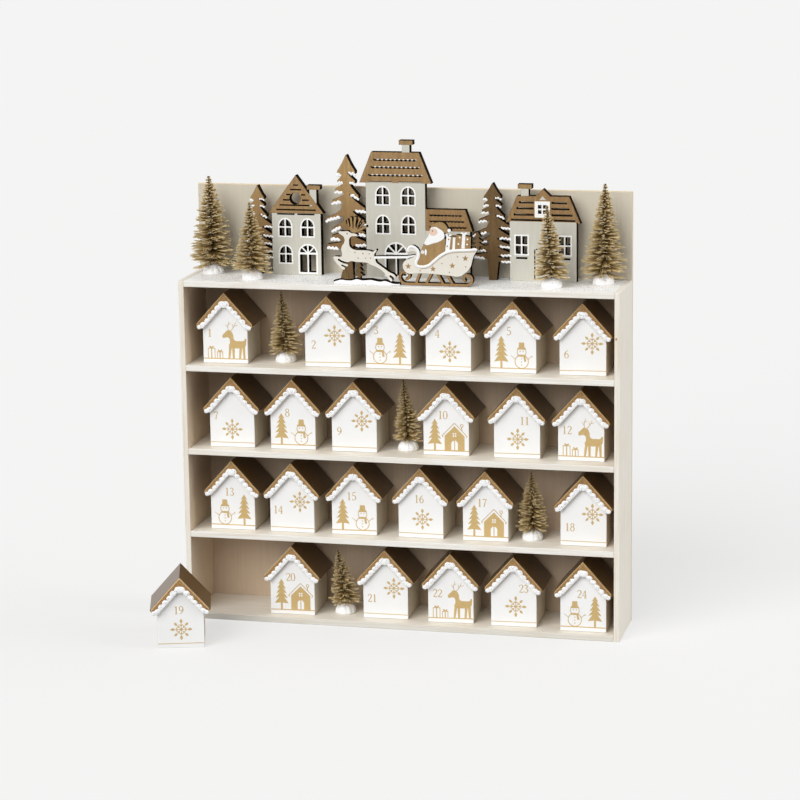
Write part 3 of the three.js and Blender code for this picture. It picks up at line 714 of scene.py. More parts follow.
# %% House boxes
def softened_box(number):
    shape = bmesh.new()
    shape.from_mesh(nodes[f"house_{number:02d}_box"].data)
    bmesh.ops.transform(shape, verts=shape.verts, matrix=Matrix.Scale(1 / MM, 4) @ places[number].inverted())
    bmesh.ops.remove_doubles(shape, verts=shape.verts, dist=0.01)
    bmesh.ops.dissolve_limit(shape, angle_limit=0.02, verts=shape.verts, edges=shape.edges)
    sharp = [edge for edge in shape.edges if edge.is_manifold and edge.calc_face_angle() > 0.3]
    bmesh.ops.bevel(
        shape, geom=sharp, offset=0.35, offset_type="OFFSET", affect="EDGES",
        segments=2, profile=0.5, material=-1,
    )
    shape.normal_update()
    for face in shape.faces:
        # Both side walls take the second finish, with painted shade.
        face.material_index = int(abs(face.normal.x) > 0.9)
    return shape


for number in places:
    add_piece(f"house_{number:02d}_walls", softened_box(number), box_body[number],
              [house_white, shaded_house_sides], [f"house_{number:02d}_box"], places[number])
print("boxes:", len(places))

# %% [markdown]
# The lid is two slabs mitred at the ridge, with a front plate like a flat chevron glued to their front
# ends. The slabs are stained dark on top and along their edges. The plate is bare board, rounded at the
# eaves. A hair of shadow between plate and slabs shows that they are separate pieces.

# %% Roof slabs and gable plate
def roof_slabs():
    halves = []
    for side in (-1, 1):
        outline = [under_ridge(0.05), on_roof(slope_length, 0, side), on_roof(slope_length, slab, side),
                   under_ridge(slab)]
        outline = [(x + side * 0.05, z) for x, z in outline]
        half = cutout([outline], slab_front, slab_run, 0.25)
        for face in half.faces:
            face.material_index = int(face.normal.z < -0.4)
        halves.append(half)
    return joined(*halves)


def gable_plate(band=5.6):
    """A chevron whose arms end in half circles at the eaves."""
    ends = []
    for step in range(-4, 5):
        swing = math.radians(20 * step)
        ends.append(on_roof(slope_length - band / 2 + band / 2 * math.cos(swing),
                            band / 2 * (1 + math.sin(swing))))
    mirrored = [(-x, z) for x, z in reversed(ends)]
    return cutout([[under_ridge(0), *ends, under_ridge(band), *mirrored]], gable_front, gable_thickness, 0.4)


for number, place in places.items():
    label = f"house_{number:02d}"
    add_piece(label + "_slabs", roof_slabs(), lid_body[number], [roof_stain, board_edge],
              [label + "_roof"], place)
    add_piece(label + "_gable", gable_plate(), lid_body[number], [gable_board, board_edge],
              [label + "_roof"], place)
print("lids:", len(places))

# %% [markdown]
# White icing with glitter is piped along the plate in overlapping blobs. Each blob is a squashed ball, and
# a voxel remesh melts them into one skin. Four different runs keep the houses from looking stamped.

# %% Icing on the gables
def melted(shape, voxel):
    """One closed skin round everything in the shape."""
    mesh = bpy.data.meshes.new("blobs")
    shape.to_mesh(mesh)
    shape.free()
    holder = bpy.data.objects.new("blobs", mesh)
    bpy.context.scene.collection.objects.link(holder)
    remesh = holder.modifiers.new("melt", "REMESH")
    remesh.mode = "VOXEL"
    remesh.voxel_size = voxel
    smooth = holder.modifiers.new("soften", "SMOOTH")
    smooth.iterations = 1
    bpy.context.view_layer.update()
    skin = bpy.data.meshes.new_from_object(holder.evaluated_get(bpy.context.evaluated_depsgraph_get()))
    bpy.data.objects.remove(holder)
    bpy.data.meshes.remove(mesh)
    return skin


def icing_run(seed):
    chance = random.Random(seed)
    run = bmesh.new()

    def blob(spot, half_length, half_height, thick, lean=0):
        ball = bmesh.ops.create_icosphere(run, subdivisions=2, radius=1)["verts"]
        bmesh.ops.scale(run, verts=ball, vec=(half_length, thick, half_height))
        bmesh.ops.rotate(run, verts=ball, matrix=Matrix.Rotation(lean, 3, "Y"))
        bmesh.ops.translate(run, verts=ball, vec=(spot[0], gable_front, spot[1]))

    blob(under_ridge(7), 4.2, 3.3, 1.05)
    for side in (-1, 1):
        for step in range(20):
            blob(on_roof(6.4 + 1.6 * step, 6.0, side), 1.5, 1.4, 0.6)
        down = chance.uniform(8.6, 9.2)
        while down < slope_length - 3.4:
            half = chance.uniform(2.6, 3.1)
            lean = side * (pitch + chance.uniform(-0.35, 0.1))
            blob(on_roof(down, 4.8 + chance.uniform(-0.4, 0.35), side), half, half * 0.84,
                 chance.uniform(0.85, 1.05), lean)
            down += chance.uniform(4.9, 5.7)
        blob(on_roof(slope_length - 1.4, 3.9, side), 2.4, 2.2, 0.9)
    return melted(run, 0.34)


icings = [icing_run(seed) for seed in (3, 8, 21, 34)]
for number, place in places.items():
    add_piece(f"house_{number:02d}_icing", icings[number % 4].copy(), lid_body[number],
              [icing_white], [f"house_{number:02d}_roof"], place, smooth=True)
print("icing faces:", [len(mesh.polygons) for mesh in icings])
for mesh in icings:
    bpy.data.meshes.remove(mesh)

# %% [markdown]
# The day numbers are printed in gold-brown with an old-style letter, thick on one side of each curve and
# thin on the other. A digit is a few pen strokes in a box one unit high, each point with its own half
# width.

# %% Day numbers
DIGITS = {
    "0": ["loop", [(0.28, 1, 0.03), (0.05, 0.5, 0.07), (0.28, 0, 0.03), (0.51, 0.5, 0.07)]],
    "1": ["line", [(0.28, 0, 0.06), (0.28, 1, 0.06)], [(0.12, 0.86, 0.02), (0.28, 1, 0.04)],
          [(0.12, 0, 0.025), (0.44, 0, 0.025)]],
    "2": ["line", [(0.07, 0.76, 0.05), (0.1, 0.92, 0.03), (0.28, 1, 0.035), (0.48, 0.8, 0.07),
                   (0.36, 0.48, 0.05), (0.06, 0.04, 0.035)],
          [(0.06, 0.03, 0.045), (0.52, 0.03, 0.05)], [(0.52, 0.03, 0.03), (0.54, 0.18, 0.02)]],
    "3": ["line", [(0.07, 0.84, 0.045), (0.26, 1, 0.035), (0.45, 0.8, 0.06), (0.24, 0.55, 0.03)],
          [(0.24, 0.55, 0.03), (0.5, 0.28, 0.065), (0.26, 0, 0.035), (0.05, 0.16, 0.05)]],
    "4": ["line", [(0.4, 1, 0.04), (0.4, 0, 0.06)], [(0.4, 1, 0.03), (0.03, 0.3, 0.03)],
          [(0.03, 0.3, 0.035), (0.56, 0.3, 0.035)], [(0.26, 0, 0.025), (0.54, 0, 0.025)]],
    "5": ["line", [(0.14, 0.97, 0.05), (0.5, 1, 0.05)], [(0.14, 0.97, 0.03), (0.11, 0.55, 0.03)],
          [(0.11, 0.55, 0.025), (0.3, 0.62, 0.04), (0.51, 0.34, 0.065), (0.28, 0, 0.035),
           (0.05, 0.12, 0.045)]],
    "6": ["line", [(0.46, 0.98, 0.03), (0.18, 0.75, 0.055), (0.06, 0.36, 0.065), (0.28, 0, 0.035),
                   (0.5, 0.3, 0.06), (0.3, 0.58, 0.035), (0.1, 0.4, 0.035)]],
    "7": ["line", [(0.06, 0.96, 0.05), (0.52, 0.96, 0.05)],
          [(0.52, 0.96, 0.035), (0.32, 0.5, 0.05), (0.22, 0, 0.06)],
          [(0.06, 0.96, 0.025), (0.05, 0.8, 0.025)]],
    "8": ["loop", [(0.28, 1, 0.035), (0.1, 0.78, 0.055), (0.28, 0.55, 0.035), (0.46, 0.78, 0.055)],
          [(0.28, 0.55, 0.035), (0.05, 0.27, 0.06), (0.28, 0, 0.035), (0.51, 0.27, 0.06)]],
}
DIGITS["9"] = ["line", [(0.56 - x, 1 - z, half) for x, z, half in DIGITS["6"][1]]]


def written(number, x, z, height=7.1, weight=1.28):
    """The day number with its middle at x and its foot at z."""
    text, advance, gap = str(number), 0.62, 0.06
    start, pen = x - height * (advance * len(text) - gap) / 2, height * weight
    drawn = []
    for i, digit in enumerate(text):
        way, *lines = DIGITS[digit]
        left = start + height * advance * i
        placed = [[(left + height * px, z + height * pz, pen * half) for px, pz, half in line]
                  for line in lines]
        drawn.append(strokes(placed, front_face, 0.2, closed=way == "loop"))
    return joined(*drawn)


print("digits:", sorted(DIGITS))

# %% [markdown]
# Under its number each house has a small printed picture: a snowflake, a stag by two gifts, a snowman by a
# fir, or a cottage by a fir. All of them are flat shapes a tenth of a millimetre proud of the paint, as
# thick as a coat of ink can be and still show its edge. Where two shapes cross, one lies a hair further
# out.

# %% Printed snowflake and fir
def inked(loops, soft=False, over=0.0):
    return cutout(loops, front_face - 0.1 - over, 0.2 + over, 0.02, soft)


def moved_to(loop, x, z, size=1.0):
    """A loop made larger and moved. A half width at the end of a point stays as it is."""
    return [(x + size * px, z + size * pz, *half) for px, pz, *half in loop]


def turned(loop, angle, x, z):
    sine, cosine = math.sin(angle), math.cos(angle)
    return [(x + px * cosine - pz * sine, z + px * sine + pz * cosine) for px, pz in loop]


def snowflake(x, z, reach=9.9):
    """Eight arms with bud-shaped tips and chevrons round a small star."""
    bud = [(0, 1), (-0.09, 0.87), (-0.13, 0.74), (-0.07, 0.62), (0, 0.57), (0.07, 0.62), (0.13, 0.74),
           (0.09, 0.87)]
    stem = rectangle(-0.028, 0.12, 0.028, 0.6)
    chevron = [(0, 0.26), (0.17, 0.43), (0.12, 0.49), (0, 0.37), (-0.12, 0.49), (-0.17, 0.43)]
    ray = [(-0.045, 0.08), (0.045, 0.08), (0, 0.27)]
    drawn = [inked([disc(x, z, 0.1 * reach, 8)], over=0.02)]
    for i in range(8):
        angle = math.pi / 4 * i
        size = reach * (1, 0.9)[i % 2]
        for over, loop in ((0, bud), (0.01, stem), (0.02, chevron), (0.03, ray)):
            drawn.append(inked([turned(moved_to(loop, 0, 0, size), angle, x, z)],
                               over=over + 0.005 * (i % 2)))
    return joined(*drawn)


def printed_fir(x, foot, height=29, reach=6.5):
    """A fir of five swept tiers on a thin trunk."""
    side = [(0, height)]
    for level, spread in ((0.82, 0.46), (0.67, 0.62), (0.52, 0.76), (0.37, 0.9), (0.2, 1)):
        side += [(spread * reach, level * height), (spread * reach * 0.4, (level + 0.035) * height)]
    side[-1] = (0.9, 0.225 * height)
    side.append((0.9, 0))
    mirrored = [(-px, pz) for px, pz in reversed(side[1:])]
    return inked([moved_to(side + mirrored, x, foot)])


print("snowflake and fir are drawn")

# %% [markdown]
# The stag, the gifts, the snowman and the cottage are drawn from simple shapes too. They are generic
# Christmas pictures of the size and colour of the ones on the real houses.

# %% Printed stag and gifts
def printed_gifts(x, foot):
    """Two parcels seen from the front: outline, ribbon and bow."""
    drawn = []
    for left, wide, tall in ((x - 8, 6.8, 9.6), (x + 0.4, 5.6, 6.4)):
        line, middle = 0.6, left + wide / 2
        drawn.append(inked([
            rectangle(left, foot, left + wide, foot + tall),
            rectangle(left + line, foot, middle - 0.45, foot + tall - line),
            rectangle(middle + 0.45, foot, left + wide - line, foot + tall - line),
        ]))
        for side in (-1, 1):
            loop = turned(disc(0, 1.3, 0.7, 10, 1.9), -side * 0.9, middle, foot + tall)
            drawn.append(inked([loop], over=0.02))
    return joined(*drawn)


def printed_stag(x, foot, size=1.38):
    """A stag that stands and looks to the left."""
    body = [(-3.4, 8.2), (-2.7, 10.8), (-3.4, 13.8), (-5.2, 14.2), (-7.2, 13.8), (-7.6, 15.4), (-5.8, 17.4),
            (-4.2, 18.9), (-2.0, 18.4), (-0.6, 16.2), (0.4, 12.4), (3.8, 11.9), (6.6, 12.1), (7.8, 13.6),
            (8.2, 11), (7.3, 8.2), (1.6, 7)]
    drawn = [inked([moved_to(body, x, foot, size)], soft=True)]
    for i, (top, hoof) in enumerate(((-2.3, -3.4), (-0.5, -0.4), (4.6, 3.8), (6.4, 6.8))):
        leg = [(top - 0.95, 9), (hoof - 0.6, 0), (hoof + 0.6, 0), (top + 0.95, 9)]
        drawn.append(inked([moved_to(leg, x, foot, size)], over=0.02 + 0.01 * i))
    antlers = [[(-3.4, 18.0, 0.35), (-3.9, 21.4, 0.3), (-2.9, 25.0, 0.22)],
               [(-3.8, 20.4, 0.28), (-5.4, 22.8, 0.2)], [(-3.7, 22.4, 0.26), (-1.9, 23.6, 0.2)],
               [(-2.6, 18.0, 0.35), (-0.2, 20.8, 0.3), (1.4, 24.2, 0.22)],
               [(-0.4, 20.6, 0.28), (-0.8, 23.0, 0.2)], [(0.5, 21.8, 0.26), (2.8, 22.4, 0.2)]]
    drawn.append(strokes([moved_to(line, x, foot, size) for line in antlers], front_face - 0.05, 0.2))
    return joined(*drawn)


print("stag and gifts are drawn")

# %% [markdown]
# The snowman is two snowballs drawn in outline, with a filled cap and scarf, buttons and twig arms. The
# cottage is a filled front under a roof drawn as an open band, with a door of two leaves, a window and a
# curl of smoke.

# %% Printed snowman and cottage
def printed_snowman(x, foot, size=1.38):
    def part(*loops, over=0.0):
        return inked([moved_to(loop, x, foot, size) for loop in loops], over=over)

    drawn = [part(disc(0, 4.6, 4.6, 24), disc(0, 4.6, 4.1, 24)),
             part(disc(0, 10.8, 3.1, 20), disc(0, 10.8, 2.65, 20), over=0.02),
             part([(-2.9, 12.4), (2.9, 12.4), (2.5, 13.6), (-2.5, 13.6)], over=0.04),
             part([(-1.9, 13.5), (1.9, 13.5), (1.6, 17), (-1.6, 17)], over=0.05),
             part([(-2.8, 7.9), (2.8, 7.9), (2.6, 9.1), (-2.6, 9.1)], over=0.06),
             part([(1.1, 8.2), (2.4, 8.2), (3, 4.8), (1.7, 4.6)], over=0.07)]
    drawn += [part(disc(dx, dz, 0.4, 8)) for dx, dz in ((0, 6.4), (0, 4.4), (0, 2.4), (-1, 11.3), (1, 11.3))]
    arms = [[(4.2, 6.2, 0.36), (7.0, 8.8, 0.24)], [(-4.2, 6.2, 0.36), (-7.0, 8.4, 0.24)],
            [(6.0, 7.9, 0.24), (7.4, 7.9, 0.2)]]
    drawn.append(strokes([moved_to(line, x, foot, size) for line in arms], front_face, 0.2))
    return joined(*drawn)


def printed_cottage(x, foot):
    walls = [(x - 9, foot), (x + 9, foot), (x + 9, foot + 13.6), (x, foot + 22.6), (x - 9, foot + 13.6)]
    arch = [(x - 3, foot + 0.8), (x - 0.4, foot + 0.8), (x - 0.4, foot + 9.6), (x - 1.8, foot + 9.0),
            (x - 3, foot + 7.2)]
    panes = [rectangle(x + dx, foot + dz, x + dx + 1.4, foot + dz + 1.4) for dx in (-1.7, 0.3)
             for dz in (13, 15)]
    drawn = [inked([walls, arch, [(2 * x - px, pz) for px, pz in arch], *panes])]
    lines = [[(-11.4, 13.6, 0.38), (-10.2, 12.4, 0.38)], [(-11.4, 13.6, 0.38), (0, 25.4, 0.38)],
             [(0, 25.4, 0.38), (11.4, 13.6, 0.38)], [(11.4, 13.6, 0.38), (10.2, 12.4, 0.38)],
             [(6.6, 18.4, 0.36), (6.5, 21.6, 0.5)]]
    drawn.append(strokes([moved_to(line, x, foot) for line in lines], front_face - 0.04, 0.2))
    drawn.append(inked([disc(x + 6.6, foot + 23.2, 1.6, 14), disc(x + 6.6, foot + 23.2, 0.95, 14)]))
    return joined(*drawn)


print("snowman and cottage are drawn")

# %% [markdown]
# A gold line runs near the foot of each house, a little crooked from hand work, and bolder where it is the
# ground of a picture. Half of the houses have a snowflake, three a stag, six a snowman and three a cottage.
# The number stands where the picture leaves room. Everything on one house is a single piece that moves with
# it.

# %% Prints on all houses
ink_foot = 4.1
number_spot = {
    1: (-14.3, 24), 2: (-12.8, 16.5), 3: (-11, 31), 4: (-10, 29.5), 5: (-3.9, 33.8), 6: (-14.5, 15),
    7: (-14.7, 25), 8: (-5, 30), 9: (-13.8, 14.8), 10: (-2.9, 33), 11: (6.9, 30.5), 12: (-12.6, 24),
    13: (-2.9, 31.5), 14: (-13.2, 16.8), 15: (-2.3, 32), 16: (-1.4, 32.3), 17: (-3, 31.5), 18: (-12.2, 13.2),
    19: (-1.4, 31), 20: (-1.5, 31.4), 21: (-12.4, 15), 22: (-12, 23.5), 23: (9, 31.8), 24: (-1.2, 30.8),
}
snowflake_spot = {
    2: (6.5, 28.5), 4: (1.3, 17), 6: (8.2, 28.5), 7: (0, 16.4), 9: (7, 28.4), 11: (0.6, 17.3),
    14: (7.4, 28.5), 16: (1.5, 17.4), 18: (8, 29.3), 19: (0.4, 16.9), 21: (7.8, 28.6), 23: (1.8, 18.5),
}


def house_print(number):
    tilt = random.Random(number).uniform(-0.15, 0.15)
    half = 0.28 if number in snowflake_spot else 0.42
    ground = [(-20.4, ink_foot - half - tilt), (20.4, ink_foot - half + tilt), (20.4, ink_foot + half + tilt),
              (-20.4, ink_foot + half - tilt)]
    parts = [inked([ground], over=0.09), written(number, *number_spot[number])]
    if number in snowflake_spot:
        parts.append(snowflake(*snowflake_spot[number]))
    elif number in (1, 12, 22):
        parts += [printed_gifts(-8.4, ink_foot), printed_stag(8, ink_foot)]
    elif number in (3, 5, 8, 13, 15, 24):
        side = 1 if number in (5, 8, 15) else -1
        parts += [printed_snowman(7.6 * side, ink_foot), printed_fir(-10.6 * side, ink_foot)]
    else:
        parts += [printed_fir(-10.3, ink_foot), printed_cottage(7.6, ink_foot)]
    return joined(*parts)


for number, place in places.items():
    add_piece(f"house_{number:02d}_print", house_print(number), box_body[number], [gold_print],
              place=place)
print("prints:", len(places))

# %% [markdown]
# A bottle-brush tree is made like a bottle brush: fibres are laid between two wires, the wires are twisted
# so that the fibres fan out in a spiral, and the brush is trimmed to a cone and cut into tiers. It stands
# in a thick white foot like a drop of plaster, with creases that run down from the wire.

# %% Foot of a tree
def tree_foot(radius=9.5, height=9, creases=11):
    shape = bmesh.new()
    outline = [(0.9, 0), (0.97, 0.05), (1, 0.14), (0.98, 0.34), (0.9, 0.57), (0.75, 0.78), (0.52, 0.92),
               (0.27, 0.99), (0.1, 1)]
    last = None
    for share, level in outline:
        vertex = shape.verts.new((radius * share, 0, height * level))
        if last:
            shape.edges.new((last, vertex))
        last = vertex
    bmesh.ops.spin(
        shape, geom=shape.verts[:] + shape.edges[:], cent=(0, 0, 0), axis=(0, 0, 1), angle=2 * math.pi,
        steps=72, use_merge=True, use_duplicate=False,
    )
    bmesh.ops.remove_doubles(shape, verts=shape.verts, dist=1e-3)
    bmesh.ops.holes_fill(shape, edges=[edge for edge in shape.edges if edge.is_boundary], sides=0)
    for vertex in shape.verts:
        around = math.atan2(vertex.co.y, vertex.co.x)
        level = vertex.co.z / height
        fold = max(0, math.cos(creases * around + 1.7 * level)) ** 6
        crease = fold * math.sin(math.pi * min(1, level)) ** 0.7
        vertex.co.x *= 1 - 0.12 * crease
        vertex.co.y *= 1 - 0.12 * crease
    bmesh.ops.recalc_face_normals(shape, faces=shape.faces)
    return shape


print("faces of a foot:", len(tree_foot().faces))

# %% [markdown]
# Each bristle is a curve of three points with some thickness, from the wire out. Crimped bristles cling
# together in tufts, so they come in bunches that meet near their tips. The tufts follow a spiral with two
# arms, half a turn apart, as on a real brush. The trimmed outline swells and narrows every few millimetres,
# a rope at the top and a cone below. How far along its bristle a point lies is written to the mesh
# afterwards as reach.

# %% Brush of a tree
def brush_radius(share, radius, swell):
    """How far the bristles reach at a share of the height, 0 at the foot. More swell makes a fuller cone."""
    return radius * (1 - 0.92 * share ** swell) * min(1, 0.9 + 2 * share)


def tree_brush(height, radius, lean, swell, seed, turn_height=4.9, tufts=13, hairs=8):
    chance = random.Random(seed)
    bare, stem = 11.5, height - 12
    curve = bpy.data.curves.new("bristles", "CURVE")
    curve.dimensions = "3D"
    curve.bevel_depth = 0.18
    curve.bevel_resolution = 0
    reaches = []
    count = int(2 * tufts * stem / turn_height)
    for i in range(count):
        share = (i + 0.5) / count
        rise = bare + stem * share
        phase = (stem * share / turn_height) % 1
        trimmed = 1.06 - (0.16 + 0.2 * share) * phase
        reach = brush_radius(share, radius, swell) * trimmed * chance.uniform(0.88, 1.08)
        angle = 2 * math.pi * (share * stem / turn_height + i % 2 / 2) + chance.gauss(0, 0.16)
        lift = (chance.uniform(-0.14, 0.16) - 0.2 * (1 - share) ** 4) * reach
        for _ in range(hairs if reach > 4 else 3):
            own = reach * chance.uniform(0.78, 1)
            start, end = angle + chance.gauss(0, 0.3), angle + chance.gauss(0, 0.09)
            drift = chance.gauss(0, 0.3)
            spline = curve.splines.new("POLY")
            spline.points.add(2)
            steps = ((0.02, start, 0.9), (0.55, (start + end) / 2, 1), (1, end, 1.15))
            for k, (point, (part, turn_by, thick)) in enumerate(zip(spline.points, steps)):
                out = part * own
                point.co = (lean * share + out * math.cos(turn_by), out * math.sin(turn_by),
                            rise + lift * part + drift - (0.5, 0.9, 0)[k] * 0.05 * own, 1)
                point.radius = thick
            tip = chance.uniform(0.7, 1)
            reaches += [0.05] * 4 + [0.5 * tip] * 4 + [tip] * 4
    mesh = curve_to_mesh(curve)
    mesh.attributes.new("reach", "FLOAT", "POINT").data.foreach_set("value", reaches)
    brush = bmesh.new()
    brush.from_mesh(mesh)
    bpy.data.meshes.remove(mesh)
    bmesh.ops.holes_fill(brush, edges=[edge for edge in brush.edges if edge.is_boundary], sides=4)
    return brush


def tree_wire(height, lean):
    """Two thin wires twisted round each other, from inside the foot to the tip."""
    curve = bpy.data.curves.new("wire", "CURVE")
    curve.dimensions = "3D"
    curve.bevel_depth = 0.45
    curve.bevel_resolution = 1
    curve.use_fill_caps = True
    steps, apart, bottom, top = 90, 0.4, 5, height - 0.6
    for start in (0, math.pi):
        spline = curve.splines.new("POLY")
        spline.points.add(steps)
        for step, point in enumerate(spline.points):
            share = step / steps
            angle = start + share * height * 1.1
            point.co = (lean * share + apart * math.cos(angle), apart * math.sin(angle),
                        bottom + (top - bottom) * share, 1)
    return curve_to_mesh(curve)


print("brush tools are ready")

# %% [markdown]
# Eight trees stand on the boards, four between the houses and four beside the village. Where each one
# stands, how tall it is and how it leans is a short list, and the boards give the heights.

# %% All trees
TREES = [
    ("tree_row_1", "upper_shelf", -110.4, -2.5, 63.6, 16.5, -3.3, 1.15),
    ("tree_row_2", "middle_shelf", 2.6, -3.2, 65.5, 14, -3.9, 1.3),
    ("tree_row_3", "lower_shelf", 116.5, -4.9, 61.6, 15.5, -1, 1.45),
    ("tree_row_4", "bottom_board", -57.2, -7.9, 60, 15, -6.5, 1.3),
    ("tree_far_left", "top_board", -180.4, 9.4, 89, 22, -2.2, 1.45),
    ("tree_near_left", "top_board", -136, -16.4, 69.8, 20, -1.3, 1.1),
    ("tree_near_right", "top_board", 136.2, -16.4, 72.3, 17.5, -3.7, 1.15),
    ("tree_far_right", "top_board", 177.8, 9.4, 88.9, 21, 1.4, 1.25),
]
for seed, (name, on, x, y, height, radius, lean, swell) in enumerate(TREES):
    place = Matrix.Translation(Vector((x, y, shelf_top[on])) * MM)
    add_piece(name + "_foot", tree_foot(), "cabinet", [foot_white], [on], place, smooth=True)
    add_piece(name + "_wire", tree_wire(height, lean), "cabinet", [wire_dark], [on], place,
              smooth=True)
    brush = tree_brush(height, radius, lean, swell, seed + 5)
    add_piece(name + "_bristles", brush, "cabinet", [bristle_gold], [on], place)
print("trees:", len(TREES))

# %% [markdown]
# The village is three panels of plywood that a laser cut right through, so every pane and slit is a deep
# opening with charred sides. The paint changes from part to part of a panel, so each painted area is its
# own plate here. Where two areas meet, one lies a few hundredths of a millimetre further forward.

# %% Windows and slits
cut_front = 13
cut_depth = 8
cut_edge = 0.12
bar = 1.3
village_foot = shelf_top["top_board"]


def window_panes(x, sill, wide, tall, arched):
    """Four panes, the upper two with a round top if the window is arched."""
    half, gap = wide / 2, bar / 2
    rail = sill + tall * (0.53 if arched else 0.5)
    base, rise = rail + gap, tall - (rail - sill) - gap
    loops = []
    for side in (-1, 1):
        near, far = x + side * gap, x + side * half
        loops.append([(near, sill), (far, sill), (far, rail - gap), (near, rail - gap)])
        end = math.acos(gap / half)
        arc = [(x + side * half * math.cos(end * i / 5), base + rise * math.sin(end * i / 5))
               for i in range(6)]
        square = [(far, base), (far, base + rise), (near, base + rise)]
        loops.append([(near, base), *(arc if arched else square)])
    return loops


def round_top(x, base, half, rise, step):
    angles = [math.radians(a) for a in range(0, 181, step)]
    return [(x + half * math.cos(a), base + rise * math.sin(a)) for a in angles]


def window_frame(x, sill, wide, tall, arched, margin=1.3):
    half = wide / 2 + margin
    if not arched:
        return rectangle(x - half, sill - margin, x + half, sill + tall + margin)
    base = sill + tall * 0.53 + bar / 2
    rise = sill + tall + margin - base
    return [(x - half, sill - margin), (x + half, sill - margin), *round_top(x, base, half, rise, 15)]


def fan_panes(x, wide, spring, foot):
    """A fan light of four wedges over two tall panes."""
    radius, gap, hub = wide / 2, bar / 2, bar * 1.4
    loops = [rectangle(x - radius, foot, x - gap, spring - gap),
             rectangle(x + gap, foot, x + radius, spring - gap)]
    for i in range(4):
        start = math.radians(45 * i + 5)
        arc = [start + math.radians(35) * part for part in (0, 0.33, 0.67, 1)]
        middle = start + math.radians(17.5)
        loops.append([(x + hub * math.cos(middle), spring + gap + hub * math.sin(middle) * 0.6)]
                     + [(x + radius * math.cos(a), spring + gap + (radius - gap) * math.sin(a)) for a in arc])
    return loops


def fan_frame(x, wide, spring, foot, margin=1.5):
    radius = wide / 2 + margin
    arc = round_top(x, spring, radius, radius, 12)
    return [(x - radius, foot - margin), (x + radius, foot - margin), *arc]


def slit(left, right_end, z, tall=1.1):
    return rectangle(left, z - tall / 2, right_end, z + tall / 2)


def scalloped_slit(left, right_end, z, count, tall=1.0, wave=0.9):
    """A slit whose lower edge hangs in little scallops, like a row of round shingles."""
    step = (right_end - left) / count
    lower = []
    for i in range(count * 4 + 1):
        lower.append((left + step * i / 4, z - tall / 2 - wave * abs(math.sin(math.pi * i / 4))))
    upper = [(px, pz + tall + wave * 0.35) for px, pz in reversed(lower)]
    return lower + upper


print("window and slit tools are ready")

# %% [markdown]
# A fir is one outline with drooping branches over deep notches. Thick white paint with glitter clings to
# the underside of every branch, from its tip inwards, and its lower edge is scalloped. The paint is a row
# of squashed balls melted together.

# %% Firs
LEFT_TIERS = [
    (0.02, 1, 0.44, 0.867, 0.25, 0.83), (0.25, 0.826, 0.43, 0.793, 0.16, 0.774),
    (0.16, 0.77, 0.54, 0.724, 0.13, 0.686), (0.13, 0.676, 0.7, 0.628, 0.19, 0.612),
    (0.3, 0.546, 1, 0.482, 0.15, 0.498), (0.16, 0.458, 0.72, 0.4, 0.2, 0.406),
    (0.22, 0.366, 0.76, 0.337, 0.26, 0.3), (0.29, 0.284, 0.98, 0.262, 0.27, 0.222),
]
RIGHT_TIERS = [
    (0.02, 1, 0.43, 0.868, 0.07, 0.854), (0.08, 0.85, 0.43, 0.79, 0.12, 0.776),
    (0.13, 0.77, 0.58, 0.67, 0.13, 0.678), (0.14, 0.672, 0.9, 0.566, 0.3, 0.54),
    (0.31, 0.532, 0.95, 0.456, 0.22, 0.436), (0.24, 0.426, 0.86, 0.372, 0.26, 0.346),
    (0.28, 0.34, 0.92, 0.29, 0.28, 0.25), (0.3, 0.24, 0.9, 0.222, 0.3, 0.19),
]
SMALL_TIERS = [(0.05, 1, 0.5, 0.74, 0.15, 0.7), (0.18, 0.66, 0.75, 0.5, 0.2, 0.46),
               (0.24, 0.42, 1, 0.27, 0.26, 0.22)]


def bend(start, middle, end, steps=4):
    """Points of a curve that leaves the start towards the middle and arrives at the end."""
    def along(a, b, c, t):
        return (1 - t) ** 2 * a + 2 * t * (1 - t) * b + t * t * c
    shares = [i / steps for i in range(1, steps + 1)]
    return [tuple(along(a, b, c, t) for a, b, c in zip(start, middle, end)) for t in shares]


def fir_side(height, reach, trunk, tiers):
    """One side of a fir from its tip down. Each branch droops to a blunt end and runs back to its notch."""
    side = [(0, height)]
    for core, top, spread, level, notch, under in tiers:
        start, end = (core * reach, top * height), (spread * reach, level * height)
        side.append(start)
        side += bend(start, ((start[0] + end[0]) / 2, (start[1] + 1.6 * end[1]) / 2.6), end)
        side += [(end[0] * 1.01, end[1] - 0.012 * height), (end[0] * 0.96, end[1] - 0.026 * height)]
        side.append((notch * reach, under * height))
    return side + [(trunk, 0)]


def fir_outline(x, foot, height, reach, trunk, tiers=None):
    right_side = fir_side(height, reach, trunk, tiers or RIGHT_TIERS)
    left_side = fir_side(height, reach, trunk, tiers or LEFT_TIERS)
    mirrored = [(-px, pz) for px, pz in reversed(left_side[1:])]
    return moved_to(right_side + mirrored, x, foot)


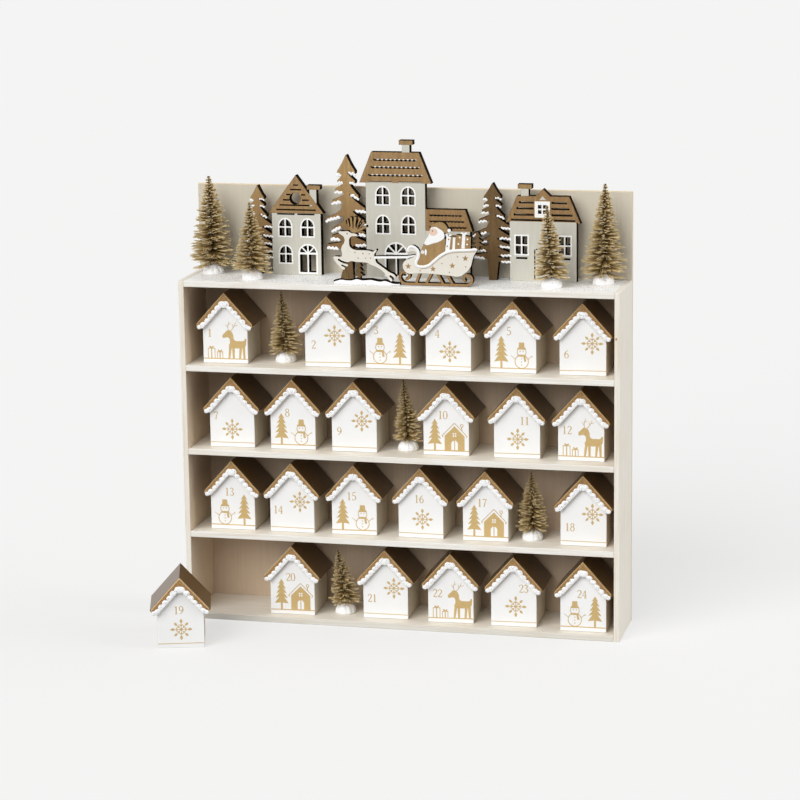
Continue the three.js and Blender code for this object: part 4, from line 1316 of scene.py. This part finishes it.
def fir_snow(x, height, reach, seed):
    chance = random.Random(seed)
    dabs = bmesh.new()
    for side, tiers in ((-1, LEFT_TIERS), (1, RIGHT_TIERS)):
        for _, _, spread, level, notch, under in tiers:
            outer = Vector((spread * reach, (level - 0.032) * height))
            inner = Vector((notch * reach, under * height))
            count = max(3, round((outer - inner).length / 1.9))
            for i in range(count):
                px, pz = outer.lerp(inner, 0.04 + 0.68 * i / (count - 1) + chance.uniform(-0.02, 0.02))
                half = chance.uniform(1.15, 1.45) * height / 100
                ball = bmesh.ops.create_icosphere(dabs, subdivisions=2, radius=1)["verts"]
                bmesh.ops.scale(dabs, verts=ball, vec=(half, 0.55, half))
                lift = half * (0.5 if i % 2 else -0.1) + chance.uniform(-0.2, 0.2)
                bmesh.ops.translate(dabs, verts=ball, vec=(x + side * px, cut_front, pz + lift))
    return melted(dabs, 0.3)


print("fir points:", len(fir_outline(0, 0, 100, 18, 4)))

# %% [markdown]
# The panels stand on the top board just in front of the backdrop. Each painted area of a panel is a row
# with its name, its outlines, how far forward it lies and its paint, and it stands for the panel's solid in
# the frame.

# %% Left cottage
PANEL_CENTRES = {"left_cottage": -102.4, "town_house": -10.3, "right_cottage": 123.3}


def panel_parts(panel, *rows):
    """Puts up a panel. Outlines are cut from plywood, and a finished shape is taken as it is."""
    place = Matrix.Translation(Vector((PANEL_CENTRES[panel], 0, village_foot)) * MM)
    for name, shape, forward, finish in rows:
        cut = finish if isinstance(shape, bmesh.types.BMesh) else charred
        is_snow = isinstance(shape, bpy.types.Mesh)
        if isinstance(shape, list):
            shape = cutout(shape, cut_front - forward, cut_depth, cut_edge)
        add_piece(name, shape, "cabinet", [finish, cut], [panel], place, is_snow)


def framed(windows, fans):
    """The openings of a wall, and the white paint round them."""
    openings = [loop for window in windows for loop in window_panes(*window)]
    openings += [loop for fan in fans for loop in fan_panes(*fan)]
    rims = [[window_frame(*window), *window_panes(*window)] for window in windows]
    rims += [[fan_frame(*fan), *fan_panes(*fan)] for fan in fans]
    return openings, joined(*[cutout(rim, cut_front - 0.2, 0.4, 0.05) for rim in rims])


openings, rims = framed(
    [(-10.4, 35.4, 11, 15, True), (10.4, 35.4, 11, 15, True), (-10.4, 11, 11, 15, True)],
    [(10.4, 15.2, 19.4, 2.6)]
)
cottage_eaves = [slit(-17.6, -1.6, 55.1, 1.1), slit(1.2, 17, 55.1, 1.1)]
roof_slits = [slit(-2.2, 2.2, 81.5), slit(-5.2, 5.2, 77.4), slit(-15.1, 15.1, 63.3), slit(-18.3, 18.3, 59.1)]
for side in (-1, 1):
    for near, far, z in ((5, 8.8, 72.8), (6, 11.9, 68)):
        roof_slits.append(slit(*sorted((side * near, side * far)), z))
gable = [(-25.7, 56), (25.7, 56), (0, 90.5)]
panel_parts(
    "left_cottage",
    ("left_cottage_wall", [rectangle(-22.8, 0, 22.8, 56), *openings, *cottage_eaves], 0, wall_cream),
    ("left_cottage_frames", rims, 0, frame_white),
    ("left_cottage_roof", [gable, disc(-0.6, 69.3, 5.3, 28), *roof_slits], 0.05, roof_brown),
    ("left_cottage_chimney", [rectangle(12.7, 62, 19.2, 78)], -0.05, wall_cream),
    ("left_cottage_chimney_cap", [rectangle(10.4, 77.6, 22.6, 81.6)], 0.05, roof_brown),
    ("left_fir", [fir_outline(-36.1, 0, 80.5, 14.5, 3.2)], -0.08, fir_stain),
    ("left_fir_snow", fir_snow(-36.1, 80.5, 14.5, 1), 0, branch_snow),
)
print("left cottage is up")

# %% [markdown]
# The tall town house has three rows of scalloped slits for shingles, two floors of arched windows over a
# door with a fan light, and a low annex on its right that the sleigh half hides.

# %% Town house
openings, rims = framed([(side * 11.7, sill, 11.4, 15.3, True) for side in (-1, 1) for sill in (65.9, 40)],
                        [(0, 18.4, 21.3, 1.8)])
rows = [scalloped_slit(-19.6, 19.6, 106, 10), scalloped_slit(-22.2, 22.2, 99.3, 11),
        scalloped_slit(-24.8, 24.8, 92.2, 12)]
eaves = [slit(-24.2, -3, 85.9, 1.0), slit(3, 24.2, 85.9, 1.0)]
town_roof = [(-33.05, 85), (33.05, 85), (21.9, 112.6), (-21.9, 112.6)]
annex_roof = [(27.3, 42.8), (70.2, 42.8), (63.6, 62.3), (27.3, 62.3)]
annex_rows = [scalloped_slit(31, end, z, count, 0.9, 0.8)
              for end, z, count in ((60.5, 57.3, 9), (62.5, 51.9, 10), (64.5, 46.5, 10))]
panel_parts(
    "town_house",
    ("town_house_wall", [rectangle(-27.25, 0, 27.25, 86), *openings], 0, wall_cream),
    ("town_house_frames", rims, 0, frame_white),
    ("town_house_roof", [town_roof, *rows, *eaves], 0.05, roof_brown),
    ("town_house_chimney", [rectangle(6.5, 111, 13.5, 119.5)], -0.05, wall_cream),
    ("town_house_chimney_cap", [rectangle(3.7, 119.3, 16.3, 123.3)], 0.05, roof_brown),
    ("annex_wall", [rectangle(26.5, 0, 67.75, 43.5)], -0.05, wall_cream),
    ("annex_roof", [annex_roof, *annex_rows], 0.02, dark_stain_and_shade_brown),
    ("middle_fir", [fir_outline(-45.05, 0, 109.4, 19, 4.4)], -0.08, fir_stain),
    ("middle_fir_snow", fir_snow(-45.05, 109.4, 19, 2), 0, branch_snow),
)
print("town house is up")

# %% [markdown]
# The right cottage is low and wide, with a dormer. Straight slits are its roof boards, and a thin broken
# line draws a plain door.

# %% Right cottage
openings, rims = framed([(side * 19.3, 24.2, 10.5, 16, False) for side in (-1, 1)], [])
sills = [slit(side * 19.3 - 5, side * 19.3 + 5, 20.6, 1.6) for side in (-1, 1)]
door = [rectangle(x, low, x + 0.8, high) for x in (-7.9, 7.1) for low, high in ((1.5, 13), (14.5, 28.4))]
door.append(rectangle(-6.3, 28.2, 6.3, 29))
wall = [(-30, 0), (30, 0), (30, 52.6), (28.8, 53.8), (-28.8, 53.8), (-30, 52.6)]
lodge_roof = [(-33.6, 52), (-29, 53.2), (29, 53.2), (33.6, 52), (23.4, 76), (6.6, 76), (0, 82.4), (-6.6, 76),
              (-23.4, 76)]
boards = []
for z, end in ((70.3, 21.4), (65, 23.7), (59.4, 26.2)):
    boards += [slit(-end, -8.4, z, 1.7), slit(7.6, end, z, 1.7)]
boards += [slit(-28.6, -0.9, 54.7, 1.5), slit(0.9, 28.6, 54.7, 1.5)]
attic = window_panes(-0.6, 60.4, 7.8, 7.8, False)
attic_rim = cutout([rectangle(-7.4, 57, 6.2, 71.4), *attic], cut_front - 0.35, 0.6, 0.05)
attic_gable = cutout([[(-3.4, 72.6), (2.8, 72.6), (-0.3, 76)]], cut_front - 0.2, 0.3, 0.05)
panel_parts(
    "right_cottage",
    ("right_cottage_wall", [wall, *openings, *sills, *door], 0, wall_cream),
    ("right_cottage_frames", rims, 0, frame_white),
    ("right_cottage_roof", [lodge_roof, *boards, *attic], 0.05, dark_stain_and_shade_brown),
    ("dormer_frame", attic_rim, 0, frame_white),
    ("dormer_gable", attic_gable, 0, wall_cream),
    ("right_cottage_chimney", [rectangle(-19.8, 74, -12.8, 83)], -0.05, wall_cream),
    ("right_cottage_chimney_cap", [rectangle(-22.6, 82.3, -10, 86.3)], 0.05, roof_brown),
    ("right_fir", [fir_outline(-45.4, 0, 86.6, 17.6, 3.5)], -0.08, painted_shade_brown),
    ("right_fir_snow", fir_snow(-45.4, 86.6, 17.6, 3), 0, branch_snow),
)
print("right cottage is up")

# %% [markdown]
# In front of the village a reindeer pulls a loaded sleigh. The whole scene is one more plywood cut-out. Its
# parts are drawn from left to right, and those that are painted over others lie a little further forward.

# %% Reindeer
scene_front, scene_thickness, paint_thickness = -26, 6, 0.3
scene_place = Matrix.Translation(Vector((7, 0, village_foot)) * MM)


def scene_part(name, shape, finish, cut=None, smooth=False):
    return add_piece(name, shape, "cabinet", [finish, cut or charred], ["sleigh_scene"],
                     scene_place, smooth)


def scene_plate(loops, forward=0.0, soft=False):
    return cutout(loops, scene_front - forward, scene_thickness, cut_edge, soft)


def painted(loops, forward, soft=False):
    return cutout(loops, scene_front - forward, paint_thickness, 0.04, soft)


deer = [
    (-57.7, 24.6), (-61.8, 24.4), (-65.1, 23.7), (-64.7, 21.6), (-63.3, 18.9), (-60.4, 16), (-55, 12.5),
    (-54.5, 14.2), (-57.7, 16.8), (-55.3, 16.2), (-52, 15.6), (-51.5, 16.9), (-55.3, 18.3), (-58.9, 19.9),
    (-60.8, 21.7), (-56.7, 20.3), (-51.6, 19.3), (-48.7, 20.2), (-44.3, 19.7), (-37, 19.4), (-33.4, 18.9),
    (-31.2, 17.6), (-26.9, 16), (-22.5, 13.6), (-18.9, 10.4), (-16.1, 7), (-12, 3.2), (-11.4, 5), (-14, 8.2),
    (-8.3, 6.9), (-8.8, 8.6), (-14.6, 11.8), (-18.9, 14.9), (-22.5, 17.4), (-25.9, 20.2), (-26.7, 23.4),
    (-27.6, 26.4), (-25.5, 31.2), (-28.8, 29.4), (-31.7, 30.1), (-36.8, 30.5), (-43.4, 30.5), (-47, 31.3),
    (-49.5, 33.4), (-50.2, 37.1), (-49.6, 40.9), (-47.5, 42.5), (-42.5, 43.4), (-44.4, 45), (-48.2, 45.6),
    (-51, 47), (-55.2, 46.9), (-59.9, 46), (-58.3, 44.1), (-55.4, 42), (-54.5, 39.7), (-54.9, 37),
    (-57.2, 33.2), (-57.8, 29.8), (-57.1, 27),
]
scene_part("reindeer", scene_plate([deer], soft=True), scene_cream)
tips = [(-52.2, 57.6), (-48.6, 59.6), (-44.2, 60), (-39.8, 58.8), (-36.2, 55.4), (-34.2, 51.6)]
tines = [scene_plate([strip((-47.6 + 0.6 * i, 46.6), tip, 2.1)], -0.1 - 0.02 * i)
         for i, tip in enumerate(tips)]
gaps = [((-52.5, 57), (-52, 53.4)), ((-50.3, 57.4), (-49.4, 50.8)), ((-46.4, 58.4), (-46.5, 49.6)),
        ((-41.9, 57.6), (-43.9, 50)), ((-38.2, 55.2), (-42.4, 49))]
# The gaps between the tines get dark strokes in the charred finish, which are painted shadow.
painted_gap_shadows = strokes([[(*start, 0.75), (*end, 0.5)] for start, end in gaps], scene_front + 0.1, 0.1)
scene_part("antler_gap_shadows", painted_gap_shadows, charred, charred)
scene_part("antlers", joined(*tines, scene_plate([disc(-45.6, 47.4, 2.6, 14, 0.7)], -0.08)), coat_brown)
spots = [(-52, 44.9, 0.75), (-45.1, 28.2, 0.6), (-37.8, 27.4, 0.65), (-32.1, 27.4, 0.55), (-42.3, 23.3, 0.55),
         (-35.6, 23.4, 0.55), (-31, 23.5, 0.6)]
dots = joined(*[painted([disc(x, z, r, 10)], 0.06) for x, z, r in spots])
scene_part("reindeer_spots", dots, coat_brown, coat_brown)
print("reindeer is up")

# %% [markdown]
# Under the reindeer runs a strip of snow with a stump and a tiny fir on it. A white rein leads to the
# sleigh.

# %% Snow strip, stump and rein
snow_strip = [(-65, 0), (-4.6, 0), (-4.6, 2.2), (-8.6, 2), (-12.5, 2.7), (-16, 3.9), (-19, 4.3),
              (-22.6, 3.7), (-26.3, 4.1), (-30.7, 5), (-34.6, 4.7), (-38.7, 4.4), (-43.8, 5.3), (-48.4, 4.2),
              (-52.6, 3.9), (-58.5, 4.5), (-62, 3.5), (-65, 2.7)]
scene_part("snow_strip", scene_plate([snow_strip], 0.08), branch_snow)
burnt_line = [(x, z - 0.4, 0.62 + 0.12 * (i % 2)) for i, (x, z) in enumerate(snow_strip[2:])]
scene_part("snow_strip_line", strokes([burnt_line], scene_front - 0.12, 0.14), charred, charred, smooth=True)
stump = [(-58.6, 2), (-58.2, 7), (-56.1, 13), (-51.6, 19.4), (-47.6, 20), (-46.4, 2)]
scene_part("stump", scene_plate([stump], -0.3), painted_shade_brown)
scene_part("small_fir", scene_plate([fir_outline(-41.6, 3, 17.6, 4.6, 1, SMALL_TIERS)], -0.2), painted_shade_brown)
rein_line = [(-28, 22.9), (2.3, 24.1), (9.4, 26.2), (9.4, 27.6), (2.3, 26.3), (-28, 25.3)]
scene_part("rein", scene_plate([rein_line], 0.1), frame_white)
print("ground under the reindeer is done")

# %% [markdown]
# The sleigh's side is a cream shell with brown stars. A white rim follows its upper edge in an S, with a
# thin brown line under it. The runner is one slender ribbon that rolls into an open curl at both ends.

# %% Sleigh
shell = [
    (2.2, 29.6), (2.8, 33.2), (6.4, 35.6), (10.6, 34), (13.2, 30.2), (13, 25.4), (11, 21.3), (11, 18.6),
    (14.6, 17.2), (21.2, 18.6), (26, 22.4), (32.8, 28), (39.5, 31.4), (46.3, 32.6), (56.4, 33.2), (65.4, 34),
    (64.2, 31), (62.4, 27.9), (61, 23.9), (59.6, 18.6), (56.9, 14.5), (52.8, 11.1), (50.1, 9.4), (39.3, 9.7),
    (25.8, 10.8), (12.3, 11), (2.1, 11), (-0.5, 13), (-1.9, 16.6), (-1.6, 19.8), (0.9, 22.6), (5, 24.4),
    (9.2, 26.6), (10, 29.2), (7.6, 30.6), (4.6, 29.8),
]
scene_part("sleigh_shell", scene_plate([shell], 0.12, soft=True), scene_cream)
rim = [(3.2, 30.4, 1.2), (3.6, 33, 1.3), (6.4, 34.6, 1.5), (10, 33.2, 1.5), (12.4, 29.9, 1.4),
       (12.3, 25.4, 1.4), (10.3, 21.3, 1.4), (10.6, 18.3, 1.4), (14.4, 16.9, 1.5), (21.2, 18.2, 1.5),
       (26, 22, 1.5), (32.8, 27.5, 1.5), (39.5, 30.9, 1.5), (46.3, 32.1, 1.4), (56.4, 32.7, 1.4),
       (64.6, 33.3, 1.3)]
scene_part("sleigh_rim", strokes([rim], scene_front - 0.15, 0.8), frame_white, frame_white, smooth=True)
lower = [(x + (0.5 if x > 20 else 0), z - 1.75, 0.22) for x, z, _ in rim[8:]]
scene_part("sleigh_rim_line", strokes([lower], scene_front - 0.1, 0.3), coat_brown, coat_brown, smooth=True)


def star(x, z, reach):
    radii = [reach, reach * 0.42] * 5
    return [(x + r * math.sin(math.pi * i / 5), z + r * math.cos(math.pi * i / 5))
            for i, r in enumerate(radii)]


stars = [painted([star(x, z, 2.9)], 0.2) for x, z in ((3.2, 17.1), (25.4, 15.3), (42.9, 18.6), (54.6, 25.4))]
stars += [painted([disc(x, z, 0.6, 10)], 0.2) for x, z in ((13.9, 13.5), (33.4, 20.4), (40.2, 12.7),
                                                           (47.6, 26.7), (54.9, 17.9))]
scene_part("sleigh_stars", joined(*stars), coat_brown, coat_brown)


def curl(x, z, start, sweep, outer, inner, steps=26):
    """Points of a spiral that winds in from outer to inner. Angles are in degrees."""
    points = []
    for i in range(steps + 1):
        angle, radius = math.radians(start + sweep * i / steps), outer + (inner - outer) * i / steps
        points.append((x + radius * math.cos(angle), z + radius * math.sin(angle)))
    return points


def ribbon(line, half):
    """The outline of a band of even width along a line."""
    left, right_hand = [], []
    for i, point in enumerate(line):
        before, after = Vector(line[max(0, i - 1)]), Vector(line[min(len(line) - 1, i + 1)])
        across_line = (after - before).orthogonal().normalized() * half
        left.append(tuple(Vector(point) + across_line))
        right_hand.append(tuple(Vector(point) - across_line))
    return left + right_hand[::-1]


runner_line = curl(0.7, 8, 270, -372, 6.5, 2)[::-1] + curl(55.8, 6.8, -90, 330, 5.3, 2.3)
struts = [((13.9, 12.4), (9.9, 2)), ((24.4, 12), (19.2, 2)), ((28.8, 12), (34.4, 2)), ((37.6, 11.4), (43, 2))]
runner = joined(scene_plate([ribbon(runner_line, 1.2)], -0.1),
                *[scene_plate([strip(top, foot, 2.3)], -0.14) for top, foot in struts])
scene_part("sleigh_runner", runner, dark_stain_and_shade_brown)
print("sleigh is up")

# %% [markdown]
# The driver is a bearded figure in a long coat and a pointed cap with a bobble, drawn as plainly as a
# wooden toy. Each colour of the coat, beard, face and mitten is its own thin plate on the one panel.

# %% Driver
long_coat = [(17.7, 37.6), (15.6, 33.4), (13.4, 26.7), (11.4, 19.6), (14.4, 17.4), (21.2, 18.4),
             (27.3, 22.4), (32.8, 27.4), (36.2, 31.2), (36.4, 37), (36.2, 43)]
scene_part("driver_coat", scene_plate([long_coat], -0.02, soft=True), coat_brown)
beard = [(25, 53), (30.3, 51.9), (35.7, 47.4), (35.8, 43.2), (32.2, 40.1), (26.1, 38), (18, 37),
         (18.4, 40.1), (20.1, 42.8), (21.6, 45.2), (22.3, 47.9), (23.3, 50.8)]
scene_part("driver_beard", scene_plate([beard], 0.08, soft=True), frame_white)
skin = brushed("painted skin", paint(238, 210, 190), paint(230, 196, 174))
face = [(23.4, 50.4), (22.5, 48.4), (22.9, 46.4), (24.8, 45), (27.6, 45.2), (29.4, 47), (29.4, 49.4),
        (27.6, 51.2), (25.2, 51.4)]
scene_part("driver_face", painted([face], 0.16, soft=True), skin, skin)
scene_part("driver_nose", painted([disc(22.6, 47.6, 0.9, 14)], 0.24), skin, skin)
scene_part("driver_eye", painted([disc(25.4, 49, 0.55, 12)], 0.24), charred, charred)
cap = [(23.6, 52.6), (24.3, 54), (27.7, 56.2), (33.1, 57.1), (36.8, 55.3), (39.3, 51.3), (41.1, 49.4),
       (36, 47.6), (32.6, 50.9), (28, 52.6)]
scene_part("driver_cap", scene_plate([cap], 0.12, soft=True), coat_brown)
scene_part("cap_bobble", scene_plate([disc(40.3, 49.7, 1.7, 16)], 0.18), frame_white)
scene_part("driver_cuff", scene_plate([disc(19.1, 30.1, 1.1, 14, 2.8)], 0.2), frame_white)
scene_part("driver_mitten", scene_plate([disc(16.2, 30.1, 1.9, 14, 1.0)], 0.18), scene_cream)
print("driver is up")

# %% [markdown]
# Behind the driver the sleigh is loaded with parcels in brown and white paper, tied with thin ribbons and
# bows, and a small fir stands behind them.

# %% Parcels and fir on the sleigh
parcels = [
    ([(36.2, 31), (40.3, 31), (41.8, 44), (37.8, 45.2)], frame_white, coat_brown,
     [disc(39.7, 41.9, 0.75, 10), disc(38.4, 35.8, 0.75, 10)]),
    ([(40.6, 31), (46.2, 31), (46.6, 44.6), (41.6, 44.6)], coat_brown, frame_white,
     [[(42.8, 32.4), (45.2, 32.4), (45.8, 43.6), (43.6, 43.6)]]),
    ([(46, 32), (59.3, 32), (59.7, 44.6), (53.4, 45.4), (46.6, 46.2)], coat_brown, frame_white,
     [disc(x, z, 0.8, 10) for x, z in ((49.7, 43.7), (48.4, 38), (56.6, 42.3), (56.2, 37.7))]),
]
for i, (outline, finish, trim, marks) in enumerate(parcels):
    scene_part(f"parcel_{i + 1}", scene_plate([outline], -0.3 - 0.03 * i), finish)
    scene_part(f"parcel_{i + 1}_pattern", joined(*[painted([loop], -0.24) for loop in marks]), trim, trim)
bows = [painted([[(51, 34), (54, 34), (54.9, 47), (52, 47)]], -0.2)]
for x, z in ((53.5, 46.6), (39.6, 44.8)):
    for side in (-1, 1):
        loop = turned(disc(0, 1.7, 0.8, 12, 1.8), -side * 1.1, x, z)
        bows.append(painted([loop], -0.1 - 0.02 * side))
scene_part("parcel_ribbons", joined(*bows), frame_white, frame_white)
scene_part("load_fir", scene_plate([fir_outline(65.6, 32.6, 16.4, 6.2, 1.4, SMALL_TIERS)], -0.4), painted_shade_brown)
print("load is done")
